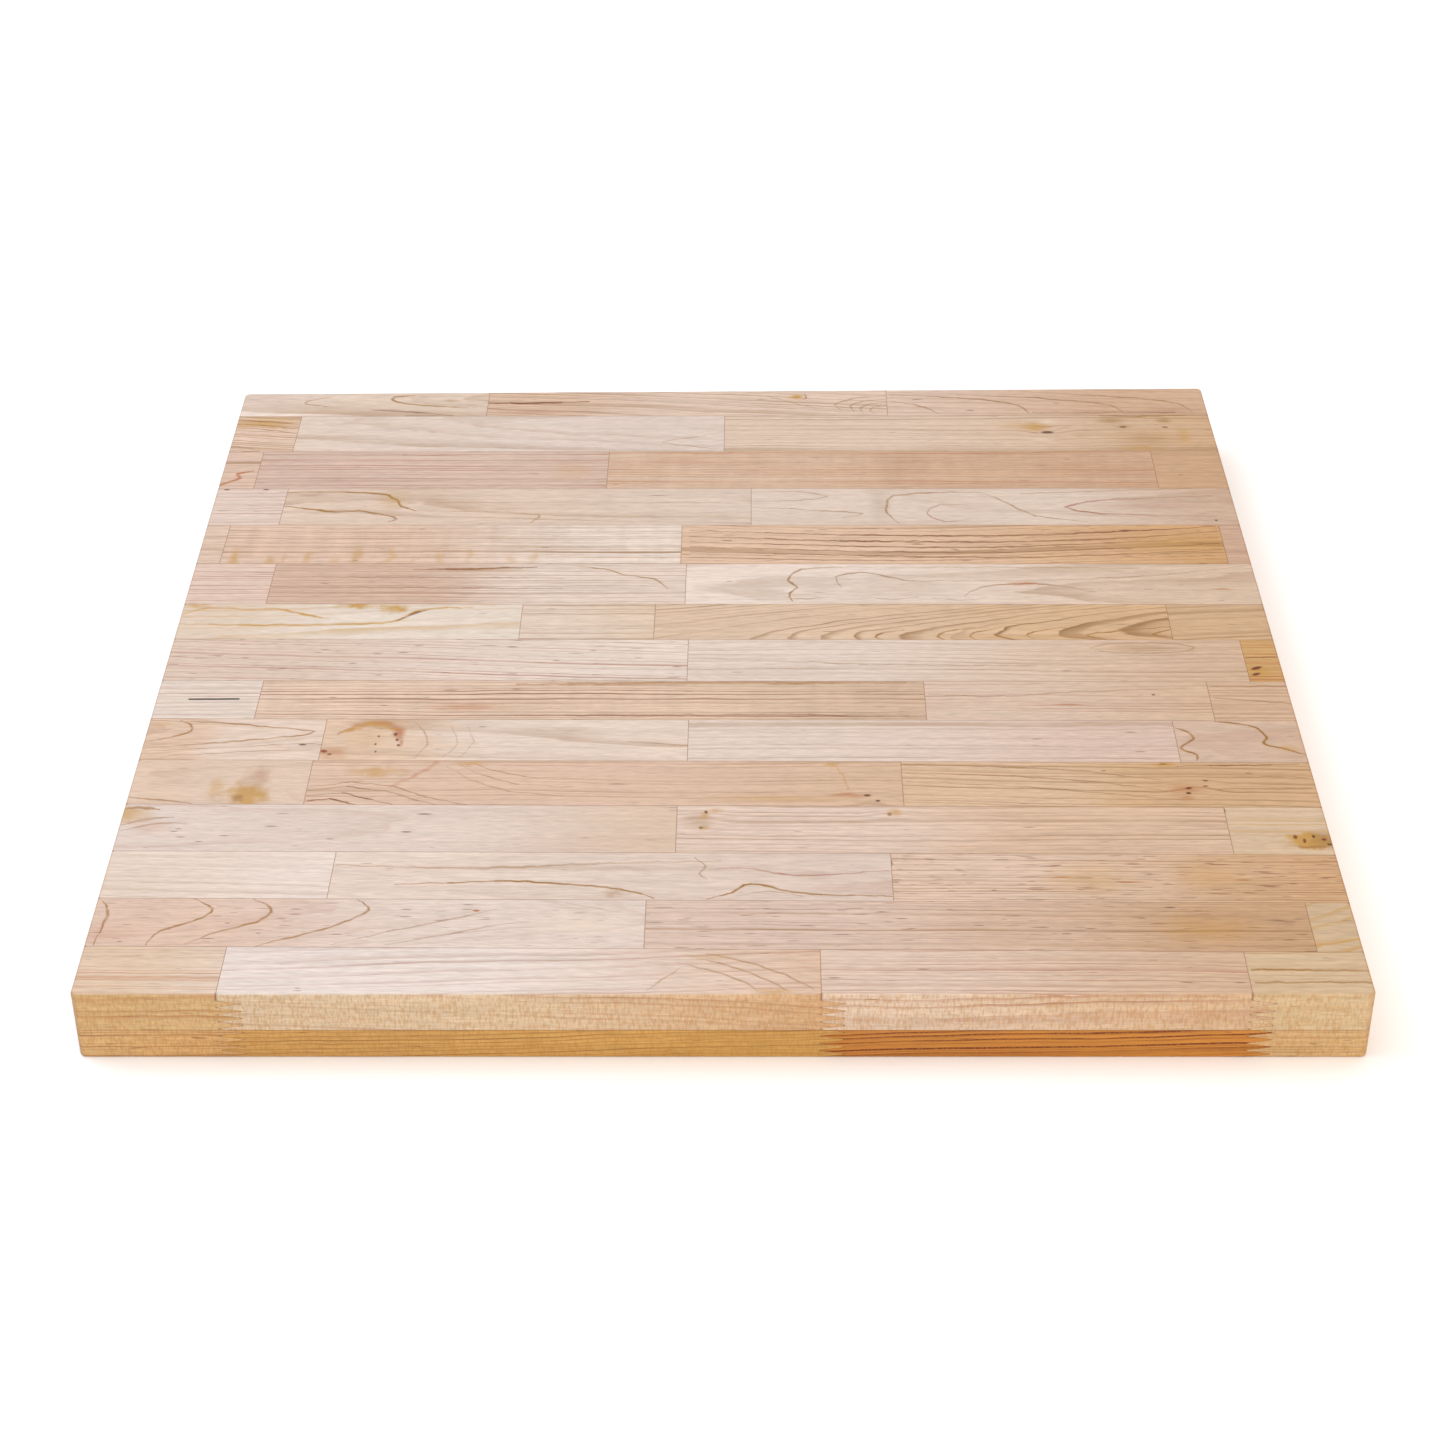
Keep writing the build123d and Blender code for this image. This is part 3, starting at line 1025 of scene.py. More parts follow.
# From the back edge to the front edge.  The upper boards' tones hold painted light as well as their own
# colour, lighter and cooler to the left and darker and warmer to the right
RAILS = (
    Rail(34.2, (
        Cut(157, CREAM, Board(
            "#D3BFAE", "#C5AE99", fade=(0.3, 0.3), pith=(8, -80), dip=1.6, spacing=3.4, line=0.25, warp=1.2,
            features=(
                stroke([(-248, 604), (-263, 599), (-262, 594), (-246, 590)], 0.9, OLIVE, 0.55),
                stroke([(-196, 606), (-208, 603), (-207, 597), (-190, 592), (-160, 588)], 1.3, OLIVE, 0.65),
                stroke([(-222, 586), (-196, 583), (-170, 578)], 1.2, UMBER, 0.6),
                stroke([(-198, 577.5), (-170, 577)], 2.0, OLIVE, 0.5), spot(-172, 598, 9, 2.5, OLIVE, 0.5),
                spot(-213, 586, 12, 1.2, UMBER, 0.4),
            ))),
        Cut(None, PINK, Board(
            "#C2A38A", "#C7AE9A", fade=(0.3, 0.3), pith=(62, -50), yaw=-5, spacing=3, line=0.45, warp=2.2,
            features=(
                stroke([(-147, 594), (-118, 594), (-84, 595.5)], 2.2, UMBER, 0.95),
                spot(-120, 582, 30, 6, MAUVE, 0.4), spot(48, 600.6, 5.5, 4.5, GOLDEN, 0.85),
                stroke([(53, 605), (54, 598), (50, 596)], 1.0, UMBER, 0.6),
                spot(48, 600.6, 10, 7, GOLDEN, 0.35),
                stroke([(104, 601), (84, 598), (72, 590), (76, 583)], 0.9, BROWN, 0.6),
                stroke([(104, 597), (90, 594), (82, 588), (84, 580)], 0.9, BROWN, 0.6),
                stroke([(104, 593), (94, 590), (88, 585), (90, 578)], 0.8, BROWN, 0.55),
                stroke([(104, 588), (96, 586), (94, 581), (97, 577)], 0.8, BROWN, 0.55),
                stroke([(16, 607), (32, 600), (50, 590), (60, 585)], 0.8, BROWN, 0.4),
            ))),
        Cut(200, TAN, Board(
            "#C7AD9A", "#BB987B", fade=(0.4, 0.8), pith=(-70, -90), yaw=-3, spacing=3.4, line=0.22,
            warp=1.4, features=(
                stroke([(107, 594), (122, 589), (132, 582), (137, 576)], 0.9, BROWN, 0.6),
                stroke([(107, 603), (150, 598), (178, 592), (190, 584), (194, 576)], 1.1, BROWN, 0.75),
                stroke([(150, 603), (200, 597), (236, 590), (248, 584), (252, 577)], 1.0, BROWN, 0.65),
                stroke([(190, 606), (240, 600), (280, 592), (291, 585), (295, 577)], 1.0, BROWN, 0.6),
                spot(282, 580, 26, 5, MAUVE, 0.3), fleck(124, 596, 10, b=1.0),
                fleck(156.6, 581, 8, SOOT, b=1.0), fleck(211.6, 589.6, 6), fleck(296.6, 595, 7, RUST),
                stroke([(196, 577), (284, 576.5)], 1.2, UMBER, 0.5),
            ))),
    )),
    Rail(46.6, (
        Cut(40, TAN, Board(
            "#C8AB94", "#C8AB94", pith=(60, -40), yaw=-6, spacing=3.0, line=0.6, ink=OLIVE, features=(
                spot(-288, 568, 36, 12, GOLDEN, 0.7, rough=6),
                stroke([(-304, 573), (-280, 570), (-266, 567)], 0.9, UMBER, 0.6),
                stroke([(-304, 568), (-282, 565), (-266, 561)], 0.8, UMBER, 0.55),
                stroke([(-304, 563), (-284, 560), (-266, 556)], 0.8, UMBER, 0.5),
                stroke([(-304, 538), (-290, 536)], 0.9, UMBER, 0.45),
                stroke([(-304, 533), (-286, 532)], 0.9, UMBER, 0.45),
            ))),
        Cut(267, CREAM, Board(
            "#C5AF9C", "#C5B2A4", fade=(0.3, 0.8), pith=(14, -90), dip=1.2, spacing=3.6, line=0.25,
            warp=1.5, features=(
                stroke([(-2, 552), (-26, 545), (-36, 541), (-24, 537), (-2, 532)], 0.7, BROWN, 0.5),
            ))),
        Cut(None, CREAM, Board(
            "#C6AE99", "#BA9672", fade=(0.7, 0.8), pith=(-70, -50), spacing=3.2, line=0.35, warp=1.6,
            flecks=0.5, features=(
                knot(202.4, 551.2, 5, 2.2), spot(196, 558, 13, 9, GOLDEN, 0.65),
                spot(188, 560, 22, 10, GOLDEN, 0.3), spot(204, 565.6, 10, 4, CHALK, 0.6),
                spot(198, 541.6, 12, 4, CHALK, 0.6), swell(202, 552, 22, 10, 4),
                knot(250, 557.6, 3, 1.8, UMBER, 0.9), spot(243, 566, 14, 6, OLIVE, 0.55),
                spot(250, 558, 9, 4, OLIVE, 0.4), knot(275.6, 557, 2.6, 1.4, UMBER, 0.8),
                spot(276, 566, 8, 5, OLIVE, 0.6),
                stroke([(228, 573.5), (262, 572), (300, 573)], 1.3, OLIVE, 0.7),
                spot(286, 545, 7, 16, GOLDEN, 0.45), spot(263, 542, 30, 15, OLIVE, 0.35),
                spot(258, 530, 22, 5, GOLDEN, 0.4),
            ))),
    )),
    Rail(46.8, (
        Cut(22, PINK, Board(
            "#C2A48E", "#C2A48E", pith=(60, -40), spacing=2.9, line=0.4, features=(
                stroke([(-306, 487), (-300, 493), (-293, 498), (-295, 503), (-286, 507)], 1.4, RUST, 0.75),
            ))),
        Cut(214, PINK, Board(
            "#BA9E8B", "#BEA390", fade=(0.3, 0.3), pith=(72, -40), spacing=2.7, line=0.55, ink=MAUVE,
            warp=1.2, flecks=0.4, features=(
                fleck(-152, 530, 16, b=0.8), fleck(-195, 526.6, 4, SOOT),
                spot(-90, 505, 20, 18, GOLDEN, 0.2),
            ))),
        Cut(None, TAN, Board(
            "#C0A48B", "#B89679", pith=(74, -36), spacing=2, line=0.45, ink=RUST, warp=1.4, curl=0.7,
            features=(
                fleck(211, 516.6, 7), spot(-30, 518, 40, 10, RUST, 0.2),
            ))),
        Cut(42, TAN, Board(
            "#B6916F", "#B6916F", pith=(70, -44), spacing=3.2, line=0.2, features=(
                fleck(277.6, 496, 5),
            ))),
    )),
    Rail(44.0, (
        Cut(43, PINK, Board(
            "#C5AF9E", "#C5AF9E", pith=(60, -44), spacing=3, line=0.35, ink=MAUVE, flecks=0.6, features=(
                fleck(-299, 483.6, 5, PITH, 0.9, b=1.1), fleck(-275, 483.6, 5, PITH, 0.9, b=1.1),
                fleck(-298, 458, 9, BROWN, 0.7),
            ))),
        Cut(280, CREAM, Board(
            "#C3AB96", "#C2AE9D", fade=(0.8, 0.8), pith=(10, -80), dip=0.8, spacing=3.8, line=0.22,
            warp=1.6, features=(
                stroke([(-261.6, 464), (-240, 458), (-230, 456), (-216, 457), (-194, 449.6)], 1.6, OLIVE,
                       0.95),
                stroke([(-196, 450), (-193, 447), (-197, 444)], 1.3, UMBER, 0.7),
                stroke([(-262, 480), (-226, 480), (-200, 476), (-191, 462), (-182, 457.6)], 1.2, OLIVE,
                       0.9),
                stroke([(-182, 457), (-140, 455), (-108, 451.6), (-112, 443), (-118, 440.6)], 0.9, OLIVE,
                       0.45),
                spot(-197, 470, 12, 18, GOLDEN, 0.35, rough=6),
                stroke([(-170, 467), (0, 465)], 0.8, BROWN, 0.25), fleck(-38, 474, 16),
                spot(-246, 476, 12, 3, UMBER, 0.3),
            ))),
        Cut(None, CREAM, Board(
            "#C5B1A0", "#B69880", fade=(0.8, 0.5), pith=(8, -110), dip=1.0, spacing=4.6, line=0.1,
            features=(
                stroke([(19, 477), (45, 478), (64, 472), (48, 467), (19, 466)], 0.8, BROWN, 0.5),
                stroke([(19, 459), (60, 455), (84, 451), (72, 445.6)], 0.9, BROWN, 0.55),
                spot(95, 460, 10, 30, BROWN, 0.2),
                stroke([(105, 439), (99, 452), (99, 462), (104, 472.6), (130, 476), (155, 475.6)], 1.0,
                       BROWN, 0.6),
                stroke([(155, 475.6), (170, 463.6), (186, 447), (216, 440)], 1.0, BROWN, 0.6),
                stroke([(147, 460), (130, 461), (122, 451), (132, 441), (147, 444)], 0.8, MAUVE, 0.6),
                stroke([(292, 470), (230, 466), (205, 457.6), (228, 449), (292, 446)], 1.1, MAUVE, 0.7),
                spot(255, 458, 46, 8, MAUVE, 0.3), stroke([(180, 474), (292, 480)], 0.8, BROWN, 0.4),
                knot(291.6, 441, 1.4, 1.2, SOOT, 0.8),
            ))),
    )),
    Rail(44.8, (
        Cut(14, PINK, Board("#C2A791", "#C2A791", pith=(60, -40), spacing=2.9, line=0.3)),
        Cut(268, TAN, Board(
            "#C4A68F", "#CEBCAC", fade=(0.6, 0.5), pith=(70, -40), spacing=2.6, line=0.45, ink=BROWN,
            curl=0.9, flecks=0.5, features=(
                spot(-284, 402, 5, 17, GOLDEN, 0.6, rough=5), spot(-262, 399, 4, 10, GOLDEN, 0.5, rough=5),
                spot(-254, 400, 3, 8, GOLDEN, 0.35, rough=5), spot(-240, 401, 4, 13, GOLDEN, 0.45, rough=5),
                spot(-224, 399, 4, 8, GOLDEN, 0.3, rough=5), spot(-212, 404, 5, 18, GOLDEN, 0.45, rough=5),
                spot(-192, 404, 4, 17, GOLDEN, 0.4, rough=5), spot(-178, 399, 3, 8, GOLDEN, 0.25, rough=5),
                spot(-163, 401, 4, 12, GOLDEN, 0.4, rough=5), spot(-146, 404, 3, 14, GOLDEN, 0.3, rough=5),
                spot(-122, 399, 5, 9, GOLDEN, 0.3, rough=5), spot(-108, 401, 4, 12, GOLDEN, 0.3, rough=5),
                fleck(-212, 399, 5, SOOT), fleck(-102, 413, 8), fleck(-176, 435, 6),
            ))),
        Cut(None, DARK, Board(
            "#C6A68B", "#BA8D5C", fade=(0.7, 0.8), pith=(78, -34), yaw=0.8, spacing=4.4, line=0.35,
            thin=0.38, ink=BROWN, warp=1.0, flecks=0.8, features=(
                swell(110, 415, 190, 70, -8), fleck(99, 432.4, 8, PITH),
                fleck(236.6, 429.6, 10, PITH, 0.85, b=1.0),
                *flecks(FLECK, (127, 400, 20), (235.4, 400, 8), (142, 396, 8), (110, 417, 7)),
                spot(262, 414, 60, 14, GOLDEN, 0.3),
                stroke([(-18, 432), (70, 426), (160, 424), (230, 428), (290, 434)], 1.1, UMBER, 0.8),
                stroke([(-18, 425), (70, 419), (160, 417), (230, 420), (290, 428)], 1.1, UMBER, 0.75),
                stroke([(-18, 419), (70, 413), (170, 411), (290, 421)], 1.0, UMBER, 0.7),
                stroke([(-18, 413), (80, 407), (170, 405), (290, 414)], 1.0, UMBER, 0.65),
                stroke([(-18, 407), (80, 402), (180, 399), (290, 407)], 1.0, UMBER, 0.65),
                stroke([(-18, 401), (60, 397), (140, 396)], 0.9, UMBER, 0.6),
            ))),
        Cut(13, PINK, Board("#B5947B", "#B5947B", pith=(60, -40), spacing=2.9, line=0.3, ink=MAUVE)),
    )),
    Rail(44.6, (
        Cut(47, PINK, Board("#C6AC99", "#C6AC99", pith=(66, -44), spacing=2.7, line=0.5, ink=MAUVE)),
        Cut(238, DARK, Board(
            "#B99A83", "#C9B5A4", fade=(0.5, 0.3), pith=(74, -38), spacing=3, line=0.38, thin=0.35,
            ink=UMBER, warp=1.3, features=(
                stroke([(-256, 381), (-170, 379.6), (-90, 378)], 1.0, UMBER, 0.45),
                stroke([(-256, 369), (-170, 368), (-90, 366)], 1.0, UMBER, 0.45),
                stroke([(-178, 388), (-140, 389), (-106, 390.5)], 1.3, UMBER, 0.75),
                stroke([(-82, 391), (-66, 388), (-56, 381.6), (-38, 376.6), (-30, 366)], 0.8, OLIVE, 0.7),
                fleck(-227, 373, 8), spot(-140, 388, 40, 4, OLIVE, 0.4),
            ))),
        Cut(None, CREAM, Board(
            "#CDBBAC", "#BFA58D", fade=(0.6, 0.8), pith=(-6, -100), dip=1.2, spacing=4.2, line=0.2,
            features=(
                stroke([(41, 352), (39, 360), (44, 366), (39, 375), (46, 387), (70, 389)], 1.1, BROWN, 0.7),
                stroke([(70, 389), (160, 388), (240, 386)], 0.9, BROWN, 0.4),
                stroke([(69, 367), (66, 378), (82, 383), (104, 374.6), (116, 373)], 1.0, BROWN, 0.65),
                stroke([(116, 373), (200, 374), (260, 380), (304, 389)], 0.9, BROWN, 0.45),
                stroke([(138, 356), (148, 366), (168, 369.6), (190, 368), (212, 360)], 1.0, BROWN, 0.6),
                spot(173, 370, 15, 3.2, RUST, 0.6),
                stroke([(36, 356), (50, 354), (62, 357)], 0.8, BROWN, 0.5),
                stroke([(80, 357), (96, 353), (112, 356)], 0.8, BROWN, 0.5),
                stroke([(120, 354), (136, 352), (150, 354)], 0.8, BROWN, 0.4), fleck(5, 373.6, 6),
                spot(284, 363, 10, 1.6, RUST, 0.6),
            ))),
    )),
    Rail(37.4, (
        Cut(193, CREAM, Board(
            "#C3AD97", "#C9B9A8", fade=(0.3, 0.5), pith=(-24, -60), dip=1.4, spacing=3.6, line=0.3,
            ink=GOLDEN, features=(
                stroke([(-304, 340), (-290, 347), (-270, 345), (-250, 345), (-236, 340), (-220, 334)], 1.4,
                       GOLDEN, 0.7),
                stroke([(-304, 329.6), (-240, 328), (-190, 330), (-178, 336), (-166, 345), (-140, 346)],
                       1.3, GOLDEN, 0.7),
                stroke([(-182, 332), (-175, 338), (-164, 345)], 1.2, UMBER, 0.7),
                spot(-206, 350, 18, 8, GOLDEN, 0.9, rough=10),
                spot(-184, 345, 12, 10, GOLDEN, 0.9, rough=10),
                spot(-298, 351, 12, 5, GOLDEN, 0.7, rough=6),
            ))),
        Cut(75, CREAM, Board(
            "#C5B09D", "#C5AC93", fade=(0.7, 0.8), pith=(66, -40), spacing=4.7, line=0.65, ink=BROWN,
            thin=0.25, warp=0.8)),
        Cut(None, TAN, Board(
            "#C2A78D", "#BE9A74", fade=(0.6, 0.8), pith=(-17, -52), dip=3.4, yaw=3.5, spacing=1.7,
            line=0.55, thin=0.4, ink=BROWN, warp=0.9, features=(
                stroke([(90, 310), (86, 313), (90, 317), (102, 321)], 1.1, OLIVE, 0.75),
                stroke([(124, 310), (120, 313), (124, 318), (142, 323)], 1.1, OLIVE, 0.8),
                stroke([(142, 310), (138, 313), (141, 317), (156, 322)], 1.0, OLIVE, 0.7),
                stroke([(174, 311), (170, 314), (174, 318), (192, 323)], 0.9, OLIVE, 0.65),
                stroke([(212, 310), (203, 313), (210, 317), (250, 323)], 1.1, OLIVE, 0.8),
                stroke([(246, 313), (239, 315), (250, 320)], 1.4, OLIVE, 0.8),
                spot(170, 313, 70, 3, GOLDEN, 0.3),
            ))),
        Cut(55, TAN, Board("#BA9875", "#BA9875", pith=(60, -60), yaw=5, spacing=3.3, line=0.35)),
    )),
    Rail(42.4, (
        Cut(287, PINK, Board(
            "#C1A995", "#CAB9AA", pith=(74, -38), yaw=-2.6, spacing=3.0, line=0.55, thin=0.4, ink=MAUVE,
            flecks=0.8, features=(
                *flecks(FLECK, (-218.6, 302, 8), (-175, 299, 9), (-167, 306, 8)),
                fleck(-115, 304.4, 9, PITH, 0.8),
                *flecks(FLECK, (-128, 306, 15), (-240, 283, 7), (-202, 288, 6), (-150, 278, 8),
                        (-90, 290, 6), (-262, 294, 7), (-70, 300, 6), (-186, 276, 6)),
            ))),
        Cut(None, CREAM, Board(
            "#C8B6A7", "#BEA085", fade=(0.6, 0.8), pith=(70, -50), spacing=3.6, line=0.28, warp=2.2,
            features=(
                fleck(78, 284.6, 9), fleck(188, 278, 8), spot(231, 301, 28, 5, OLIVE, 0.32),
                stroke([(-10, 292), (90, 285), (200, 283)], 0.8, BROWN, 0.4),
                stroke([(203, 301), (216, 305.5), (246, 305.5), (260, 301), (246, 296), (216, 296),
                       (203, 301)], 0.7, OLIVE, 0.5),
            ))),
        Cut(19, TAN, Board(
            "#B7905A", "#B7905A", pith=(60, -40), spacing=2.4, line=0.6, ink=RUST, features=(
                spot(292, 277, 9, 8, GOLDEN, 0.5), fleck(291, 280, 9, KNOT, 1.2, b=2.0, turn=24),
                fleck(290, 274, 7, KNOT, 1.1, b=1.7, turn=24),
                stroke([(287, 290), (304, 291)], 0.8, KNOT, 0.5),
            ))),
    )),
    Rail(37.8, (
        Cut(56, CREAM, Board(
            "#C5B4A4", "#C5B4A4", pith=(60, -44), spacing=3.2, line=0.3, ink=MAUVE, features=(
                stroke([(-286.5, 252.6), (-260, 252.6)], 0.75, SOOT, 1.2, rough=0.2, soft=0.5),
            ))),
        Cut(None, DARK, Board(
            "#C7AB93", "#B99E84", fade=(0.8, 0.5), pith=(72, -38), spacing=2.6, line=0.55, ink=UMBER,
            curl=0.6, flecks=0.4, features=(
                stroke([(-110, 266), (0, 267), (100, 266.5)], 2.4, OLIVE, 0.5),
                stroke([(-110, 236), (0, 235.5), (100, 235)], 1.6, UMBER, 0.45),
                spot(-136, 244, 32, 6, RUST, 0.45),
                *flecks(FLECK, (-146, 260.6, 12), (-209, 254, 7), (-180.6, 246, 7)),
            ))),
        Cut(152, PINK, Board(
            "#C2AA96", "#BEA083", fade=(0.7, 0.8), pith=(66, -60), spacing=3.3, line=0.35, warp=2.2,
            ink=MAUVE, features=(
                stroke([(112, 255), (150, 253), (190, 257), (250, 260)], 0.8, BROWN, 0.5),
                fleck(186, 244.6, 22, RUST, 0.7, b=0.9), knot(232, 254, 1.3, 1.0, SOOT, 0.8),
            ))),
        Cut(43, PINK, Board(
            "#BC9C80", "#BC9C80", pith=(66, -44), spacing=3.7, line=0.35, features=(
                stroke([(264, 262), (304, 262)], 0.8, BROWN, 0.5),
                stroke([(264, 251), (304, 245)], 0.8, BROWN, 0.5),
            ))),
    )),
    Rail(38.8, (
        Cut(95, CREAM, Board(
            "#C1A38A", "#C7B09D", fade=(0.4, 0.3), pith=(10, -56), dip=-2.6, spacing=3, line=0.15, warp=1.2,
            features=(
                fleck(-220, 208.6, 6, PITH, 0.9, b=1.1),
                stroke([(-304, 203), (-250, 207), (-214, 210)], 0.7, BROWN, 0.5),
                stroke([(-288, 232), (-282, 228), (-281, 222), (-290, 216), (-304, 212)], 0.9, OLIVE, 0.75),
                stroke([(-304, 232), (-262, 229), (-226, 223), (-215, 221), (-224, 217), (-262, 211),
                       (-304, 206)], 0.8, OLIVE, 0.7),
                stroke([(-304, 198), (-270, 200), (-240, 203), (-214, 204)], 0.7, BROWN, 0.45),
                spot(-298, 228, 10, 4, GOLDEN, 0.3),
            ))),
        Cut(193, CREAM, Board(
            "#C3A68B", "#C8B4A3", fade=(0.3, 0.3), pith=(20, -90), dip=1.0, spacing=4.2, line=0.25,
            features=(
                stroke([(-202, 219), (-192, 226), (-180, 229), (-172, 225), (-169, 216), (-168, 207)], 3.2,
                       RUST, 0.6, rough=4),
                stroke([(-200, 221), (-184, 228), (-173, 224)], 5.0, GOLDEN, 0.6, rough=6),
                spot(-187, 214, 16, 13, GOLDEN, 0.2), knot(-171.4, 218, 1.3, 2.2, KNOT),
                knot(-170.4, 213, 1.2, 1.6, KNOT), knot(-169.4, 208, 1.3, 1.5, KNOT),
                knot(-180.4, 216, 0.8, 1.4, KNOT), knot(-181.6, 209, 0.8, 1.4, KNOT),
                knot(-180.6, 202, 0.8, 1.3, KNOT), fleck(-208, 202.4, 5.4, KNOT, 1.1, b=2.0, turn=-20),
                knot(-204.6, 199.4, 1.6, 1.1, PITH, 0.9), spot(-204, 201, 13, 9, RUST, 0.45, rough=5),
                stroke([(-160, 196), (-154, 208), (-157, 222), (-162, 229)], 0.7, BROWN, 0.45),
                stroke([(-145, 196), (-138, 209), (-143, 226)], 0.9, BROWN, 0.35),
                stroke([(-136, 197), (-130, 210), (-134, 226)], 0.8, BROWN, 0.3), fleck(-126, 225, 6),
                stroke([(-48, 210.6), (-17, 207)], 0.8, BROWN, 0.5),
            ))),
        Cut(None, CREAM, Board(
            "#C7B4A5", "#C1A797", fade=(0.6, 0.8), pith=(64, -60), spacing=3.5, line=0.25, features=(
                *flecks(FLECK, (216, 218, 9), (166, 212, 8), (219, 200, 9)),
            ))),
        Cut(66, PINK, Board(
            "#BA9F8A", "#BA9C83", fade=(0.8, 0.5), pith=(0, -90), dip=1.0, spacing=4.6, line=0.2, ink=MAUVE,
            features=(
                stroke([(240, 222), (246, 218), (248, 212), (242, 206), (241, 202), (248, 197), (247, 192)],
                       1.1, OLIVE, 0.9),
                stroke([(261, 228), (272, 226), (282, 222), (286, 213), (284, 207), (292, 203), (304, 197)],
                       1.1, OLIVE, 0.9),
                spot(296, 202, 9, 4, GOLDEN, 0.4, rough=4),
            ))),
    )),
    Rail(40.0, (
        Cut(92, TAN, Board(
            "#C2A78F", "#C2A993", fade=(0.3, 0.3), pith=(0, -70), dip=1.4, spacing=3.8, line=0.15, warp=2.0,
            features=(
                spot(-244, 162, 15, 13, GOLDEN, 0.8, rough=11, soft=0.7),
                spot(-240, 174, 12, 20, OLIVE, 0.3, rough=9), spot(-238, 182, 6, 10, MAUVE, 0.35, rough=4),
                spot(-260, 170, 6, 14, GOLDEN, 0.45, rough=6), spot(-248, 160, 5, 6, UMBER, 0.5, rough=5),
                fleck(-280, 187, 10, BROWN, 0.5, b=0.5),
                stroke([(-304, 161), (-286, 158), (-270, 155)], 1.0, OLIVE, 0.55),
                swell(-244, 162, 30, 14, 5),
            ))),
        Cut(None, TAN, Board(
            "#C2A48D", "#BC9D81", fade=(0.8, 0.5), pith=(70, -48), spacing=3.2, line=0.25, ink=BROWN,
            warp=2.0, features=(
                stroke([(-212, 170), (-190, 174), (-168, 170), (-150, 160), (-128, 153)], 0.9, BROWN, 0.7),
                stroke([(-212, 166), (-192, 170), (-172, 166), (-154, 157), (-144, 153)], 0.9, BROWN, 0.7),
                stroke([(-212, 162), (-194, 164), (-178, 158), (-166, 153)], 1.0, UMBER, 0.75),
                stroke([(-212, 157), (-200, 159), (-190, 155), (-184, 153)], 1.2, UMBER, 0.75),
                stroke([(-130, 192), (-118, 184), (-100, 178), (-70, 176)], 0.8, BROWN, 0.6),
                stroke([(-136, 190), (-124, 180), (-104, 172), (-76, 169)], 0.8, BROWN, 0.55),
                stroke([(-142, 188), (-130, 176), (-108, 165), (-80, 161)], 0.8, BROWN, 0.5),
                stroke([(-148, 193), (-154, 184), (-168, 170)], 5.0, RUST, 0.35, rough=5),
                spot(-180, 183, 22, 7, GOLDEN, 0.6, rough=9), spot(-130, 191, 12, 3, GOLDEN, 0.6, rough=4),
                fleck(-53, 171.6, 14), spot(58, 188, 6, 4, GOLDEN, 0.7, rough=4),
                stroke([(60, 188), (64, 178), (66, 166)], 1.6, GOLDEN, 0.4, rough=3),
                knot(75.4, 161, 2.6, 1.5), knot(80.6, 156.2, 1.6, 1.2),
                spot(66, 161, 16, 3, RUST, 0.6, rough=2), spot(30, 158, 60, 4, GOLDEN, 0.35),
                swell(77, 159, 26, 12, 5),
            ))),
        Cut(211, TAN, Board(
            "#C1A284", "#B99670", fade=(0.5, 0.3), pith=(66, -50), yaw=-1.6, spacing=3, line=0.42, warp=1.6,
            flecks=0.4, features=(
                spot(238, 166, 13, 7, RUST, 0.5, rough=3),
                fleck(239.6, 166.8, 5, KNOT, 1.1, b=1.5, turn=20), fleck(239, 162.4, 4, PITH, 1.1, b=1.3),
                fleck(249, 173.4, 4.4, KNOT, 0.9, b=1.1), fleck(248.4, 168.6, 4, KNOT, 0.8, b=1.0),
                spot(229, 188, 8, 3, GOLDEN, 0.8, rough=3), fleck(229, 188.6, 6, PITH, 0.7, b=0.8),
                stroke([(235, 186.6), (270, 187.5), (299, 188)], 0.7, KNOT, 0.8),
                fleck(198, 182.6, 4, PITH, 0.6, b=0.8), fleck(272, 180, 5, PITH, 0.5, b=0.8),
                spot(238, 158, 6, 4, RUST, 0.5),
                stroke([(96, 189), (150, 186), (190, 182), (226, 174)], 0.8, BROWN, 0.6),
                stroke([(96, 181), (150, 178), (196, 172), (228, 164)], 0.8, BROWN, 0.6),
                stroke([(96, 173), (150, 169), (200, 162), (236, 156)], 0.8, BROWN, 0.55),
                stroke([(250, 176), (276, 177), (302, 176)], 0.7, BROWN, 0.6),
                stroke([(254, 166), (302, 166)], 0.7, BROWN, 0.6), swell(244, 168, 22, 12, 3),
            ))),
    )),
    Rail(40.6, (
        Cut(283, PINK, Board(
            "#C3B0A2", "#C0A790", fade=(0.8, 0.5), pith=(4, -90), dip=-0.9, spacing=3.8, line=0.12,
            ink=MAUVE, flecks=0.5, features=(
                spot(-302, 145, 18, 12, GOLDEN, 0.7, rough=8),
                stroke([(-304, 150), (-298, 152), (-286, 150)], 2.0, OLIVE, 0.8, rough=3),
                stroke([(-304, 136), (-290, 142), (-278, 143)], 1.2, BROWN, 0.6),
                stroke([(-304, 131), (-288, 137), (-270, 138)], 1.0, BROWN, 0.5),
                spot(-288, 134, 16, 10, RUST, 0.22, rough=4), fleck(-276, 131, 6, PITH, 0.5, b=0.8),
                fleck(-150, 145.4, 12, PITH, 0.75, b=0.8), fleck(-158, 130, 8, SOOT, 0.8, b=0.8),
                fleck(-227, 135, 10, PITH, 0.6, b=0.8), fleck(-274, 133, 5, PITH, 0.6),
                *flecks(FLECK, (-250, 127, 7), (-272, 126, 8), (-196, 124, 6), (-262, 122, 6)),
            ))),
        Cut(None, TAN, Board(
            "#C6AF9E", "#C1A389", fade=(0.5, 0.3), pith=(62, -54), spacing=3.2, line=0.35, warp=2.0,
            features=(
